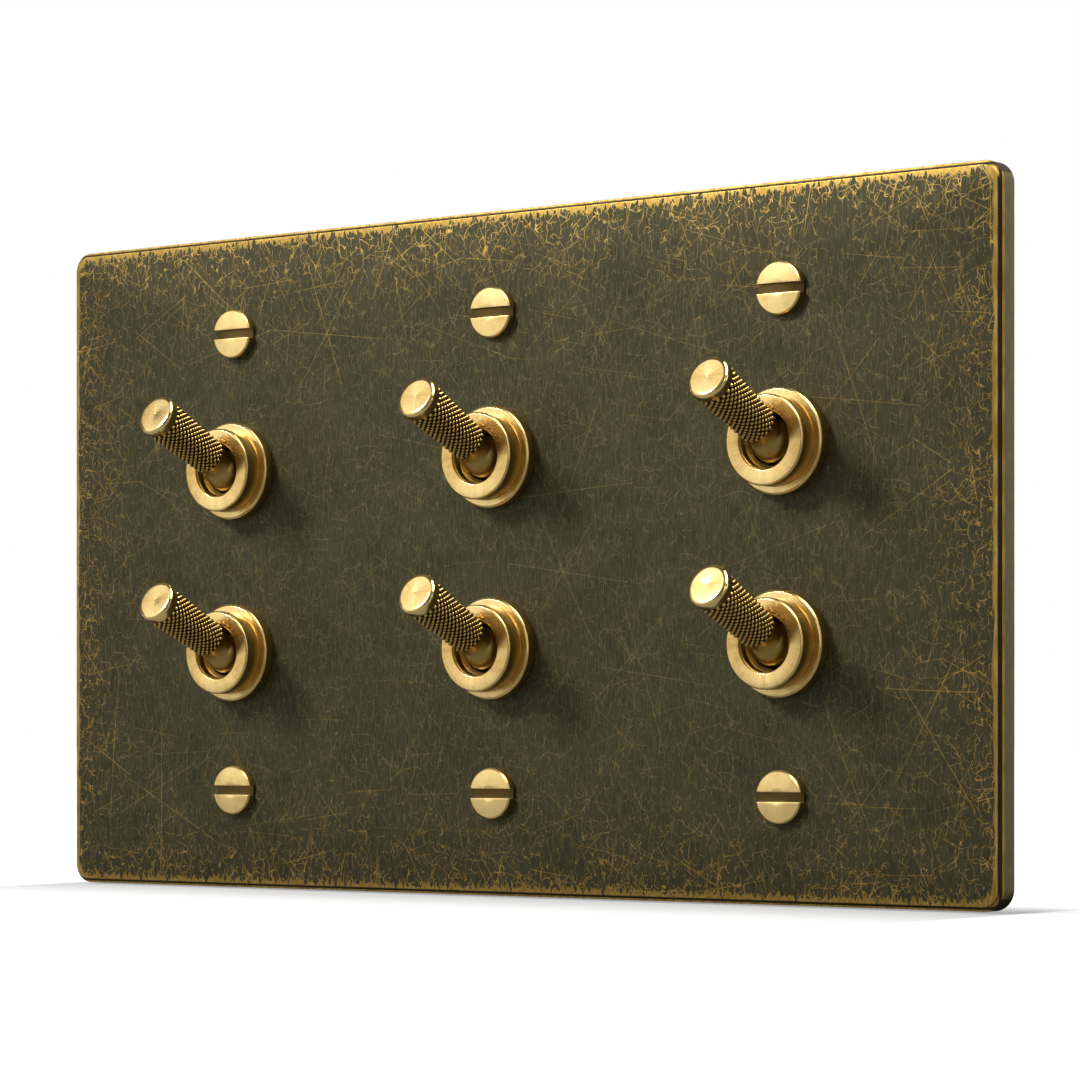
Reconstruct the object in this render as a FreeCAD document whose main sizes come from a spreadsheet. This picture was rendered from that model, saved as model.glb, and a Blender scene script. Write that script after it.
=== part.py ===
import FreeCAD, Part
import math
import os
import re
import Sketcher

# A six-gang dolly switch on one double plate, in millimetres.
# The origin is the middle of the plate's back, on the wall. +X is to the right, +Z is up, and the front faces -Y.

SIZES = {
    # face plate
    "plate_wide": 146.0,
    "plate_high": 86.0,
    "plate_thick": 3.0,
    "plate_corner": 2.6,
    "rim_inset": 0.5,
    "rim_step": 0.5,
    "rim_cove": 0.28,
    "rim_round": 0.12,
    "back_rim": 4.0,
    "back_recess": 1.5,
    # places of the switches and the plate screws
    "column_inset": 29.8,
    "row_pitch": 24.0,
    "screw_inset": 12.85,
    # round collar that clamps a switch to the plate
    "collar_base_radius": 6.4,
    "collar_base_high": 1.55,
    "collar_radius": 5.45,
    "collar_high": 4.1,
    "collar_lip": 1.2,
    "collar_mouth_radius": 3.4,
    "mouth_chamfer": 0.22,
    "collar_chamfer": 0.2,
    "base_chamfer": 0.25,
    "undercut_deep": 0.14,
    "undercut_wide": 0.16,
    # threaded bush inside it
    "bush_radius": 4.75,
    "bush_high": 2.8,
    "bush_bore_radius": 3.0,
    "bush_seat_wide": 0.6,
    "bush_seat_deep": 0.6,
    "bush_flange_radius": 6.75,
    "bush_flange_thick": 1.2,
    "bush_straight": 2.0,
    "bush_tail_radius": 4.7,
    "thread_gap": 0.05,
    "hole_gap": 0.15,
    # dolly, along its own axis from the centre of its ball
    "ball_radius": 2.7,
    "ball_high": 2.0,
    "dolly_tilt": 25.5,
    "dolly_long": 15.3,
    "tip_radius": 2.2,
    "tip_chamfer": 0.42,
    "band_radius": 2.7,
    "band_long": 0.95,
    "relief_deep": 0.16,
    "relief_wide": 0.2,
    "grip_radius": 2.7,
    "grip_root_radius": 2.42,
    "grip_start": 3.9,
    "shoulder_long": 0.5,
    "neck_radius": 2.05,
    "dolly_tail_radius": 1.5,
    "dolly_tail_long": 8.2,
    "tail_bore_radius": 0.95,
    "tail_bore_end": 1.9,
    "pin_radius": 0.5,
    "pin_gap": 0.03,
    # spring plunger in the tail
    "plunger_radius": 0.9,
    "plunger_start": 6.3,
    "plunger_reach": 12.0,
    "spring_radius": 0.7,
    "spring_wire": 0.26,
    "spring_turns": 4.0,
    # rocker
    "rocker_back": 13.7,
    "rocker_tilt": 9.0,
    "rocker_gap": 0.3,
    "rocker_wide": 4.4,
    "cheek_half": 4.9,
    "cheek_wide": 1.1,
    "arm_reach": 7.0,
    "arm_front": 0.3,
    "arm_back": 0.9,
    "contact_place": 5.7,
    "contact_radius": 1.0,
    "contact_high": 0.5,
    "trunnion_radius": 0.8,
    "trunnion_long": 1.7,
    "trunnion_gap": 0.05,
    # moulded housing
    "housing_wide": 26.0,
    "housing_high": 18.0,
    "housing_deep": 21.0,
    "housing_round": 1.2,
    "cavity_wall": 1.4,
    "cavity_floor": 13.5,
    "pocket_inset": 1.3,
    "pocket_wide": 5.0,
    "pocket_wall": 0.2,
    "common_pocket_high": 6.0,
    "side_pocket_high": 5.2,
    "side_pocket_place": 5.0,
    "window_high": 3.0,
    # terminals
    "strip_thick": 1.0,
    "strip_wide": 2.6,
    "block_gap": 0.2,
    "block_short": 0.5,
    "saddle_ear": 1.0,
    "saddle_wide": 3.6,
    "fixed_gap": 0.15,
    "wire_radius": 1.3,
    "wire_funnel": 1.8,
    # terminal screws
    "clamp_radius": 1.45,
    "clamp_head_radius": 2.1,
    "clamp_head_high": 1.4,
    "clamp_raised": 0.4,
    "clamp_slot_wide": 0.7,
    "clamp_slot_deep": 0.8,
    # yoke behind each column, as wide as the housings
    "yoke_thick": 1.2,
    "yoke_ear_end": 5.85,
    "yoke_body_high": 47.0,
    "yoke_ear_wide": 15.0,
    "yoke_round": 2.5,
    # plate screws
    "head_radius": 3.2,
    "head_high": 1.15,
    "head_dome": 0.12,
    "dome_flat_radius": 1.9,
    "head_chamfer": 0.2,
    "slot_wide": 1.2,
    "slot_deep": 0.85,
    "slot_over": 0.5,
    "thread_radius": 1.75,
    "shank_neck_radius": 1.5,
    "thread_start": 0.5,
    "screw_reach": 16.0,
    "screw_point": 0.5,
    "plate_hole_radius": 1.95,
    "yoke_hole_radius": 2.1,
    # countersunk screws that hold the housing to the yoke
    "bridge_radius": 1.25,
    "bridge_head_radius": 2.3,
    "bridge_head_high": 1.05,
    "bridge_long": 7.0,
    "bridge_place": 9.75,
    "bridge_gap": 0.08,
    "bridge_slot_wide": 0.6,
    "bridge_slot_deep": 0.5,
}

COLUMNS = {"left": -1, "middle": 0, "right": 1}
ROWS = {"top": 1, "bottom": -1}

doc = FreeCAD.newDocument("dolly_switch")
sheet = doc.addObject("Spreadsheet::Sheet", "sizes")
for row, (word, size) in enumerate(SIZES.items(), start=1):
    sheet.set(f"A{row}", word)
    sheet.set(f"B{row}", str(size))
    sheet.setAlias(f"B{row}", word)
doc.recompute()

# Places along Y that several pieces share, each as an expression on the sheet.
FACE = "-plate_thick"
COLUMN_PITCH = "(plate_wide / 2 - column_inset)"
SCREW_PITCH = "(plate_high - 2 * screw_inset)"
YOKE_FRONT = "-back_recess"
YOKE_BACK = "(yoke_thick - back_recess)"
BALL_Y = "(-plate_thick - ball_high)"
ROCKER_Y = "(rocker_back - plate_thick - ball_high)"
FLOOR_Y = "(cavity_floor + yoke_thick - back_recess)"
HOUSING_END_Y = "(housing_deep + yoke_thick - back_recess)"
BLOCK_Y = f"({FLOOR_Y} - strip_thick)"
BLOCK_END_Y = f"({HOUSING_END_Y} - block_short)"
WIRE_Y = f"(({FLOOR_Y} + {BLOCK_END_Y}) / 2)"
CAVITY_HALF = "(housing_wide / 2 - pocket_inset - pocket_wide - pocket_wall)"


def bound(expression):
    """Write each word of an expression as a cell of the sheet."""
    return re.sub(r"\b([a-z]+(?:_[a-z]+)+)\b", r"sizes.\1", expression)


def value(expression):
    return float(sheet.evalExpression(expression))


def origin_plane(body, role):
    return next(feature for feature in body.Origin.OriginFeatures if feature.Role == role)


def new_body(name):
    return doc.addObject("PartDesign::Body", name)


def new_sketch(body, name, role, raised="0"):
    """A sketch on one of the body's own origin planes, raised along that plane's normal."""
    sketch = body.newObject("Sketcher::SketchObject", name)
    sketch.AttachmentSupport = [(origin_plane(body, role), "")]
    sketch.MapMode = "FlatFace"
    if raised != "0":
        sketch.setExpression("AttachmentOffset.Base.z", bound(raised))
    return sketch


def pin_point(sketch, geometry, point, across, up):
    """Hold one point of a sketch at two expressions."""
    for kind, axis, place in (("DistanceX", -2, across), ("DistanceY", -1, up)):
        if place == "0":
            sketch.addConstraint(Sketcher.Constraint("PointOnObject", geometry, point, axis))
            continue
        index = sketch.addConstraint(Sketcher.Constraint(kind, -1, 1, geometry, point, value(place)))
        name = f"{kind.lower()}_{index}"
        sketch.renameConstraint(index, name)
        sketch.setExpression(f"Constraints.{name}", bound(place))


def draw_outline(sketch, corners):
    """A closed outline of straight lines through corners given as pairs of expressions."""
    places = [FreeCAD.Vector(value(across), value(up), 0) for across, up in corners]
    first, count = sketch.GeometryCount, len(corners)
    for index in range(count):
        line = Part.LineSegment(places[index], places[(index + 1) % count])
        sketch.addGeometry(line, False)
    for index in range(count):
        following = first + (index + 1) % count
        sketch.addConstraint(Sketcher.Constraint("Coincident", first + index, 2, following, 1))
    for index, (across, up) in enumerate(corners):
        pin_point(sketch, first + index, 1, across, up)


def draw_box(sketch, left, right, low, high):
    draw_outline(sketch, [(left, low), (right, low), (right, high), (left, high)])


def draw_circle(sketch, across, up, radius):
    centre = FreeCAD.Vector(value(across), value(up), 0)
    circle = Part.Circle(centre, FreeCAD.Vector(0, 0, 1), value(radius))
    geometry = sketch.addGeometry(circle, False)
    index = sketch.addConstraint(Sketcher.Constraint("Radius", geometry, value(radius)))
    sketch.renameConstraint(index, f"radius_{index}")
    sketch.setExpression(f"Constraints.radius_{index}", bound(radius))
    pin_point(sketch, geometry, 3, across, up)


def pad(body, name, sketch, length, reverse=False):
    feature = body.newObject("PartDesign::Pad", name)
    feature.Profile = sketch
    feature.setExpression("Length", bound(length))
    feature.Reversed = reverse
    doc.recompute()
    return feature


def cut_into(body, name, sketch, length, reverse=False):
    """A pocket that has to take something away."""
    before = body.Shape.Volume
    feature = body.newObject("PartDesign::Pocket", name)
    feature.Profile = sketch
    feature.setExpression("Length", bound(length))
    feature.Reversed = reverse
    doc.recompute()
    if body.Shape.Volume > before - 1e-6:
        raise RuntimeError(f"{name} cuts nothing")
    return feature


def turned(body, name, profile):
    """A piece turned about the Y axis, from pairs of place along the axis and radius."""
    sketch = new_sketch(body, f"{name}_profile", "YZ_Plane")
    draw_outline(sketch, profile)
    feature = body.newObject("PartDesign::Revolution", name)
    feature.Profile = sketch
    feature.ReferenceAxis = (sketch, ["H_Axis"])
    feature.Angle = 360
    doc.recompute()
    return feature


def turned_ball(body, name, centre, radius):
    """A ball whose centre is on the Y axis."""
    sketch = new_sketch(body, f"{name}_profile", "YZ_Plane")
    middle, reach = FreeCAD.Vector(value(centre), 0, 0), FreeCAD.Vector(value(radius), 0, 0)
    circle = Part.Circle(middle, FreeCAD.Vector(0, 0, 1), value(radius))
    sketch.addGeometry(Part.ArcOfCircle(circle, 0, math.pi), False)
    sketch.addGeometry(Part.LineSegment(middle - reach, middle + reach), False)
    sketch.addConstraint(Sketcher.Constraint("Coincident", 0, 2, 1, 1))
    sketch.addConstraint(Sketcher.Constraint("Coincident", 1, 2, 0, 1))
    sketch.addConstraint(Sketcher.Constraint("PointOnObject", 0, 1, -1))
    sketch.addConstraint(Sketcher.Constraint("PointOnObject", 0, 2, -1))
    pin_point(sketch, 0, 3, centre, "0")
    index = sketch.addConstraint(Sketcher.Constraint("Radius", 0, value(radius)))
    sketch.renameConstraint(index, "size_of_ball")
    sketch.setExpression("Constraints.size_of_ball", bound(radius))
    feature = body.newObject("PartDesign::Revolution", name)
    feature.Profile = sketch
    feature.ReferenceAxis = (sketch, ["H_Axis"])
    feature.Angle = 360
    doc.recompute()
    return feature


def soften(body, name, kind, size, chosen):
    """A fillet or chamfer on the edges of the body that the function chosen picks."""
    base = body.Tip
    edges = [f"Edge{n}" for n, edge in enumerate(base.Shape.Edges, start=1) if chosen(edge)]
    if not edges:
        raise RuntimeError(f"{name} finds no edge")
    feature = body.newObject(f"PartDesign::{kind}", name)
    feature.Base = (base, edges)
    feature.setExpression("Radius" if kind == "Fillet" else "Size", bound(size))
    doc.recompute()
    if feature.Shape.isNull() or not feature.Shape.Edges:
        raise RuntimeError(f"{name} makes no shape")
    return feature


def runs_along(edge, axis):
    """Is this a straight edge along the axis, 0 for X, 1 for Y and 2 for Z?"""
    if edge.Curve.TypeId != "Part::GeomLine":
        return False
    direction = edge.Curve.Direction
    return abs(abs(direction[axis]) - 1) < 1e-6


def lies_at(edge, place):
    box = edge.BoundBox
    return abs(box.YMin - place) < 1e-6 and abs(box.YMax - place) < 1e-6


def placed(name, masters, across="0", along="0", up="0", turn="0"):
    """A named copy of one or more master pieces, turned about X and then moved to its place."""
    copy = doc.addObject("Part::Compound", name)
    copy.Label = name
    copy.Links = masters
    copy.Placement = FreeCAD.Placement(
        FreeCAD.Vector(), FreeCAD.Rotation(FreeCAD.Vector(1, 0, 0), value(turn))
    )
    for axis, place in (("x", across), ("y", along), ("z", up)):
        copy.setExpression(f"Placement.Base.{axis}", bound(place))
    if turn != "0":
        copy.setExpression("Placement.Rotation.Angle", bound(turn))
    return copy


def column_place(column):
    return f"({COLUMNS[column]} * {COLUMN_PITCH})"


def row_place(row):
    return f"({ROWS[row]} * row_pitch / 2)"


def screw_place(row):
    return f"({ROWS[row]} * {SCREW_PITCH} / 2)"


def make_face_plate():
    """One thick plate with a low step and cove round its front, and a shallow recess in its back."""
    body = new_body("face_plate")
    raised = new_sketch(body, "raised_outline", "XZ_Plane")
    wide, high = "(plate_wide / 2 - rim_inset)", "(plate_high / 2 - rim_inset)"
    draw_box(raised, f"-{wide}", wide, f"-{high}", high)
    pad(body, "raised_face", raised, "plate_thick")
    inner_corner = "plate_corner - rim_inset"
    soften(body, "raised_corners", "Fillet", inner_corner, lambda edge: runs_along(edge, 1))

    outline = new_sketch(body, "plate_outline", "XZ_Plane")
    draw_box(outline, "-plate_wide / 2", "plate_wide / 2", "-plate_high / 2", "plate_high / 2")
    pad(body, "plate_slab", outline, "plate_thick - rim_step")
    edge_of_slab = value("plate_wide / 2") - 1e-3
    soften(
        body,
        "plate_corners",
        "Fillet",
        "plate_corner",
        lambda edge: runs_along(edge, 1) and abs(edge.BoundBox.XMax) > edge_of_slab,
    )
    lip = value("rim_step - plate_thick")
    reach = value("plate_wide / 2 - rim_inset") + 1e-3
    rise = value("plate_high / 2 - rim_inset") + 1e-3
    soften(
        body,
        "rim_cove_round",
        "Fillet",
        "rim_cove",
        lambda edge: lies_at(edge, lip)
        and max(abs(edge.BoundBox.XMin), abs(edge.BoundBox.XMax)) < reach
        and max(abs(edge.BoundBox.ZMin), abs(edge.BoundBox.ZMax)) < rise,
    )
    face = value("-plate_thick")
    soften(body, "rim_edge_round", "Fillet", "rim_round", lambda edge: lies_at(edge, face))

    recess = new_sketch(body, "recess_outline", "XZ_Plane")
    wide, high = "(plate_wide / 2 - back_rim)", "(plate_high / 2 - back_rim)"
    draw_box(recess, f"-{wide}", wide, f"-{high}", high)
    cut_into(body, "recess", recess, "back_recess", reverse=True)

    holes = new_sketch(body, "plate_hole_places", "XZ_Plane")
    for column in COLUMNS:
        for row in ROWS:
            draw_circle(holes, column_place(column), row_place(row), "bush_radius + hole_gap")
            draw_circle(holes, column_place(column), screw_place(row), "plate_hole_radius")
    cut_into(body, "plate_holes", holes, "plate_thick", reverse=True)
    return body


def make_plate_screw():
    """A cheese-head screw with a slightly domed, slotted head, from the plate's face backwards."""
    body = new_body("plate_screw")
    front = "(-plate_thick - head_high)"
    turned(
        body,
        "screw_turned",
        [
            (f"{front} - head_dome", "0"),
            (f"{front} - head_dome / 2", "dome_flat_radius"),
            (front, "head_radius - head_chamfer"),
            (f"{front} + head_chamfer", "head_radius"),
            (FACE, "head_radius"),
            (FACE, "shank_neck_radius"),
            ("thread_start", "shank_neck_radius"),
            ("thread_start", "thread_radius"),
            ("screw_reach - screw_point", "thread_radius"),
            ("screw_reach", "thread_radius - screw_point"),
            ("screw_reach", "0"),
        ],
    )
    slot = new_sketch(body, "screw_slot_outline", "XZ_Plane", "plate_thick + head_high - slot_deep")
    reach = "(head_radius + slot_over)"
    draw_box(slot, f"-{reach}", reach, "-slot_wide / 2", "slot_wide / 2")
    cut_into(body, "screw_slot", slot, "slot_deep + head_dome + head_chamfer", reverse=True)
    return body


def make_bridge_screw():
    """A small countersunk screw, flush with the yoke's front."""
    body = new_body("bridge_screw")
    turned(
        body,
        "bridge_screw_turned",
        [
            (YOKE_FRONT, "0"),
            (YOKE_FRONT, "bridge_head_radius"),
            (f"{YOKE_FRONT} + bridge_head_high", "bridge_radius"),
            (f"{YOKE_FRONT} + bridge_long", "bridge_radius"),
            (f"{YOKE_FRONT} + bridge_long + bridge_radius / 2", "0"),
        ],
    )
    slot = new_sketch(body, "bridge_slot_outline", "XZ_Plane", "back_recess - bridge_slot_deep")
    reach = "(bridge_head_radius + slot_over)"
    draw_box(slot, f"-{reach}", reach, "-bridge_slot_wide / 2", "bridge_slot_wide / 2")
    cut_into(body, "bridge_slot", slot, "bridge_slot_deep", reverse=True)
    return body


def make_terminal_screw():
    """A cheese-head clamp screw, turned in from behind until it meets the wire."""
    body = new_body("terminal_screw")
    under_head = f"{BLOCK_END_Y} + clamp_raised"
    turned(
        body,
        "terminal_screw_turned",
        [
            (WIRE_Y, "0"),
            (WIRE_Y, "clamp_radius"),
            (under_head, "clamp_radius"),
            (under_head, "clamp_head_radius"),
            (f"{under_head} + clamp_head_high", "clamp_head_radius"),
            (f"{under_head} + clamp_head_high", "0"),
        ],
    )
    slot = new_sketch(
        body, "clamp_slot_outline", "XZ_Plane", f"-({under_head} + clamp_head_high - clamp_slot_deep)"
    )
    reach = "(clamp_head_radius + slot_over)"
    draw_box(slot, "-clamp_slot_wide / 2", "clamp_slot_wide / 2", f"-{reach}", reach)
    cut_into(body, "clamp_slot", slot, "clamp_slot_deep")
    return body


def make_yoke():
    """A flat steel strap: wide behind the two switches, with a narrower ear at each end."""
    body = new_body("yoke")
    half, body_half = f"({SCREW_PITCH} / 2 + yoke_ear_end)", "yoke_body_high / 2"
    wide, ear = "housing_wide / 2", "yoke_ear_wide / 2"
    outline = new_sketch(body, "yoke_outline", "XZ_Plane", "back_recess - yoke_thick")
    draw_outline(
        outline,
        [
            (f"-{wide}", f"-{body_half}"),
            (f"-{ear}", f"-{body_half}"),
            (f"-{ear}", f"-{half}"),
            (ear, f"-{half}"),
            (ear, f"-{body_half}"),
            (wide, f"-{body_half}"),
            (wide, body_half),
            (ear, body_half),
            (ear, half),
            (f"-{ear}", half),
            (f"-{ear}", body_half),
            (f"-{wide}", body_half),
        ],
    )
    pad(body, "yoke_strap", outline, "yoke_thick")
    soften(body, "yoke_corners", "Fillet", "yoke_round", lambda edge: runs_along(edge, 1))
    holes = new_sketch(body, "yoke_hole_places", "XZ_Plane", "back_recess - yoke_thick")
    for row in ROWS:
        draw_circle(holes, "0", row_place(row), "bush_radius + hole_gap")
        draw_circle(holes, "0", screw_place(row), "yoke_hole_radius")
        for side in (-1, 1):
            across = f"({side} * bridge_place)"
            draw_circle(holes, across, row_place(row), "bridge_radius + bridge_gap")
    cut_into(body, "yoke_holes", holes, "yoke_thick", reverse=True)
    front = value(YOKE_FRONT)
    small = value("bridge_radius + bridge_gap")
    soften(
        body,
        "yoke_countersinks",
        "Chamfer",
        "bridge_head_radius - bridge_radius",
        lambda edge: edge.Curve.TypeId == "Part::GeomCircle"
        and abs(edge.Curve.Radius - small) < 1e-6
        and lies_at(edge, front),
    )
    return body


def make_collar():
    """The bright two-tier ring nut on the plate's face, with a lip round the mouth at its front."""
    body = new_body("collar")
    thread = "bush_radius + thread_gap"
    base_top = f"({FACE} - collar_base_high)"
    top = f"({FACE} - collar_high)"
    turned(
        body,
        "collar_turned",
        [
            (FACE, thread),
            (FACE, "collar_base_radius"),
            (f"{base_top} + base_chamfer", "collar_base_radius"),
            (base_top, "collar_base_radius - base_chamfer"),
            (base_top, "collar_radius - undercut_deep"),
            (f"{base_top} - undercut_wide", "collar_radius - undercut_deep"),
            (f"{base_top} - undercut_wide - undercut_deep / 2", "collar_radius"),
            (f"{top} + collar_chamfer", "collar_radius"),
            (top, "collar_radius - collar_chamfer"),
            (top, "collar_mouth_radius + mouth_chamfer"),
            (f"{top} + mouth_chamfer", "collar_mouth_radius"),
            (f"{top} + collar_lip", "collar_mouth_radius"),
            (f"{top} + collar_lip", thread),
        ],
    )
    return body


def make_bush():
    """The threaded bush: a flange behind the yoke, a seat round the ball and a bore that opens backwards."""
    body = new_body("bush")
    end = f"({YOKE_BACK} + bush_flange_thick)"
    front = f"({FACE} - bush_high)"
    turned(
        body,
        "bush_turned",
        [
            (front, "bush_bore_radius + bush_seat_wide"),
            (front, "bush_radius"),
            (YOKE_BACK, "bush_radius"),
            (YOKE_BACK, "bush_flange_radius"),
            (end, "bush_flange_radius"),
            (end, "bush_tail_radius"),
            (f"{BALL_Y} + bush_straight", "bush_bore_radius"),
            (f"{front} + bush_seat_deep", "bush_bore_radius"),
        ],
    )
    cross = new_sketch(body, "bush_pin_place", "YZ_Plane", "-bush_flange_radius")
    draw_circle(cross, BALL_Y, "0", "pin_radius")
    cut_into(body, "bush_pin_hole", cross, "2 * bush_flange_radius", reverse=True)
    return body


def make_pivot_pin():
    """The pin across the bush that the ball turns on; the collar keeps it in."""
    body = new_body("pivot_pin")
    section = new_sketch(body, "pin_section", "YZ_Plane", "-bush_radius + thread_gap")
    draw_circle(section, BALL_Y, "0", "pin_radius")
    pad(body, "pin_length", section, "2 * (bush_radius - thread_gap)")
    return body


def make_dolly():
    """The turned lever, along -Y from the centre of its ball: grip, neck, ball and hollow tail."""
    body = new_body("dolly")
    tip = "-dolly_long"
    band = "(band_long + tip_chamfer - dolly_long)"
    turned(
        body,
        "dolly_turned",
        [
            (tip, "0"),
            (tip, "tip_radius"),
            (f"{tip} + tip_chamfer", "band_radius"),
            (band, "band_radius"),
            (band, "band_radius - relief_deep"),
            (f"{band} + relief_wide", "band_radius - relief_deep"),
            (f"{band} + relief_wide", "grip_radius"),
            ("-grip_start", "grip_root_radius"),
            ("-grip_start + shoulder_long", "neck_radius"),
            ("0", "neck_radius"),
            ("0", "0"),
        ],
    )
    turned_ball(body, "ball", "0", "ball_radius")
    tail = new_sketch(body, "tail_section", "XZ_Plane", "-dolly_tail_long")
    draw_circle(tail, "0", "0", "dolly_tail_radius")
    pad(body, "tail", tail, "dolly_tail_long")
    bore = new_sketch(body, "tail_bore_section", "XZ_Plane", "-dolly_tail_long")
    draw_circle(bore, "0", "0", "tail_bore_radius")
    cut_into(body, "tail_bore", bore, "dolly_tail_long - tail_bore_end", reverse=True)
    cross = new_sketch(body, "ball_pin_place", "YZ_Plane", "-ball_radius")
    draw_circle(cross, "0", "0", "pin_radius + pin_gap")
    cut_into(body, "ball_pin_hole", cross, "2 * ball_radius", reverse=True)
    return body


def make_plunger():
    """The round-nosed plunger that slides in the dolly's tail."""
    body = new_body("plunger")
    turned(
        body,
        "plunger_turned",
        [
            ("plunger_start", "0"),
            ("plunger_start", "plunger_radius - thread_gap"),
            ("plunger_start + thread_gap", "plunger_radius"),
            ("plunger_reach - plunger_radius", "plunger_radius"),
            ("plunger_reach - plunger_radius", "0"),
        ],
    )
    turned_ball(body, "nose", "plunger_reach - plunger_radius", "plunger_radius")
    return body


def make_spring():
    """The coil spring in the tail's bore, between the bore's end and the plunger."""
    start, end = value("tail_bore_end"), value("plunger_start")
    wire = value("spring_wire")
    coil = Part.makeHelix(
        (end - start - wire) / value("spring_turns"), end - start - wire, value("spring_radius")
    )
    half = wire / 2
    corner = value("spring_radius")
    section = Part.makePolygon(
        [
            FreeCAD.Vector(corner - half, 0, -half),
            FreeCAD.Vector(corner + half, 0, -half),
            FreeCAD.Vector(corner + half, 0, half),
            FreeCAD.Vector(corner - half, 0, half),
            FreeCAD.Vector(corner - half, 0, -half),
        ]
    )
    sweep = coil.makePipeShell([section], True, True)
    sweep.rotate(FreeCAD.Vector(), FreeCAD.Vector(1, 0, 0), -90)
    sweep.translate(FreeCAD.Vector(0, start + half, 0))
    spring = doc.addObject("Part::Feature", "spring")
    spring.Shape = sweep
    return spring


def trough():
    """The centre and radius of the rocker's dished front, clear of the plunger's nose over its whole travel.

    The nose's centre is followed in the rocker's own turning frame: at mid travel, and at one end.
    """
    reach = value("plunger_reach - plunger_radius")
    back = value("rocker_back")
    swing, tilt = math.radians(value("dolly_tilt")), math.radians(value("rocker_tilt"))
    along, up = reach * math.cos(swing) - back, reach * math.sin(swing)
    end_along = along * math.cos(tilt) - up * math.sin(tilt)
    end_up = along * math.sin(tilt) + up * math.cos(tilt)
    rise = (reach - back) - end_along
    path = (end_up**2 + rise**2) / (2 * rise)
    return reach - back - path, path + value("plunger_radius + rocker_gap")


def make_rocker():
    """The see-saw contact: a dished front that the plunger slides over, two arms and two trunnions."""
    body = new_body("rocker")
    centre, radius = trough()
    half = value("cheek_half")
    outer = value("cheek_half + cheek_wide")
    cheek = centre + math.sqrt(radius**2 - half**2)
    front, back = -value("arm_front"), value("arm_back")
    reach = value("arm_reach")
    middle = FreeCAD.Vector(centre + radius, 0, 0)
    corners = [
        FreeCAD.Vector(cheek, half, 0),
        FreeCAD.Vector(cheek, outer, 0),
        FreeCAD.Vector(front, outer, 0),
        FreeCAD.Vector(front, reach, 0),
        FreeCAD.Vector(back, reach, 0),
        FreeCAD.Vector(back, -reach, 0),
        FreeCAD.Vector(front, -reach, 0),
        FreeCAD.Vector(front, -outer, 0),
        FreeCAD.Vector(cheek, -outer, 0),
        FreeCAD.Vector(cheek, -half, 0),
    ]
    profile = new_sketch(body, "rocker_profile", "YZ_Plane", "-rocker_wide / 2")
    for begin, finish in zip(corners, corners[1:]):
        profile.addGeometry(Part.LineSegment(begin, finish), False)
    profile.addGeometry(Part.Arc(corners[-1], middle, corners[0]), False)
    for index in range(len(corners)):
        profile.addConstraint(Sketcher.Constraint("Block", index))
    pad(body, "rocker_plate", profile, "rocker_wide")
    trunnion = new_sketch(body, "trunnion_section", "YZ_Plane", "-rocker_wide / 2 - trunnion_long")
    draw_circle(trunnion, "0", "0", "trunnion_radius")
    pad(body, "trunnions", trunnion, "rocker_wide + 2 * trunnion_long")
    contacts = new_sketch(body, "contact_places", "XZ_Plane", "-arm_back - contact_high")
    for side in (-1, 1):
        draw_circle(contacts, "0", f"({side} * contact_place)", "contact_radius")
    pad(body, "contacts", contacts, "contact_high")
    return body


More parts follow.
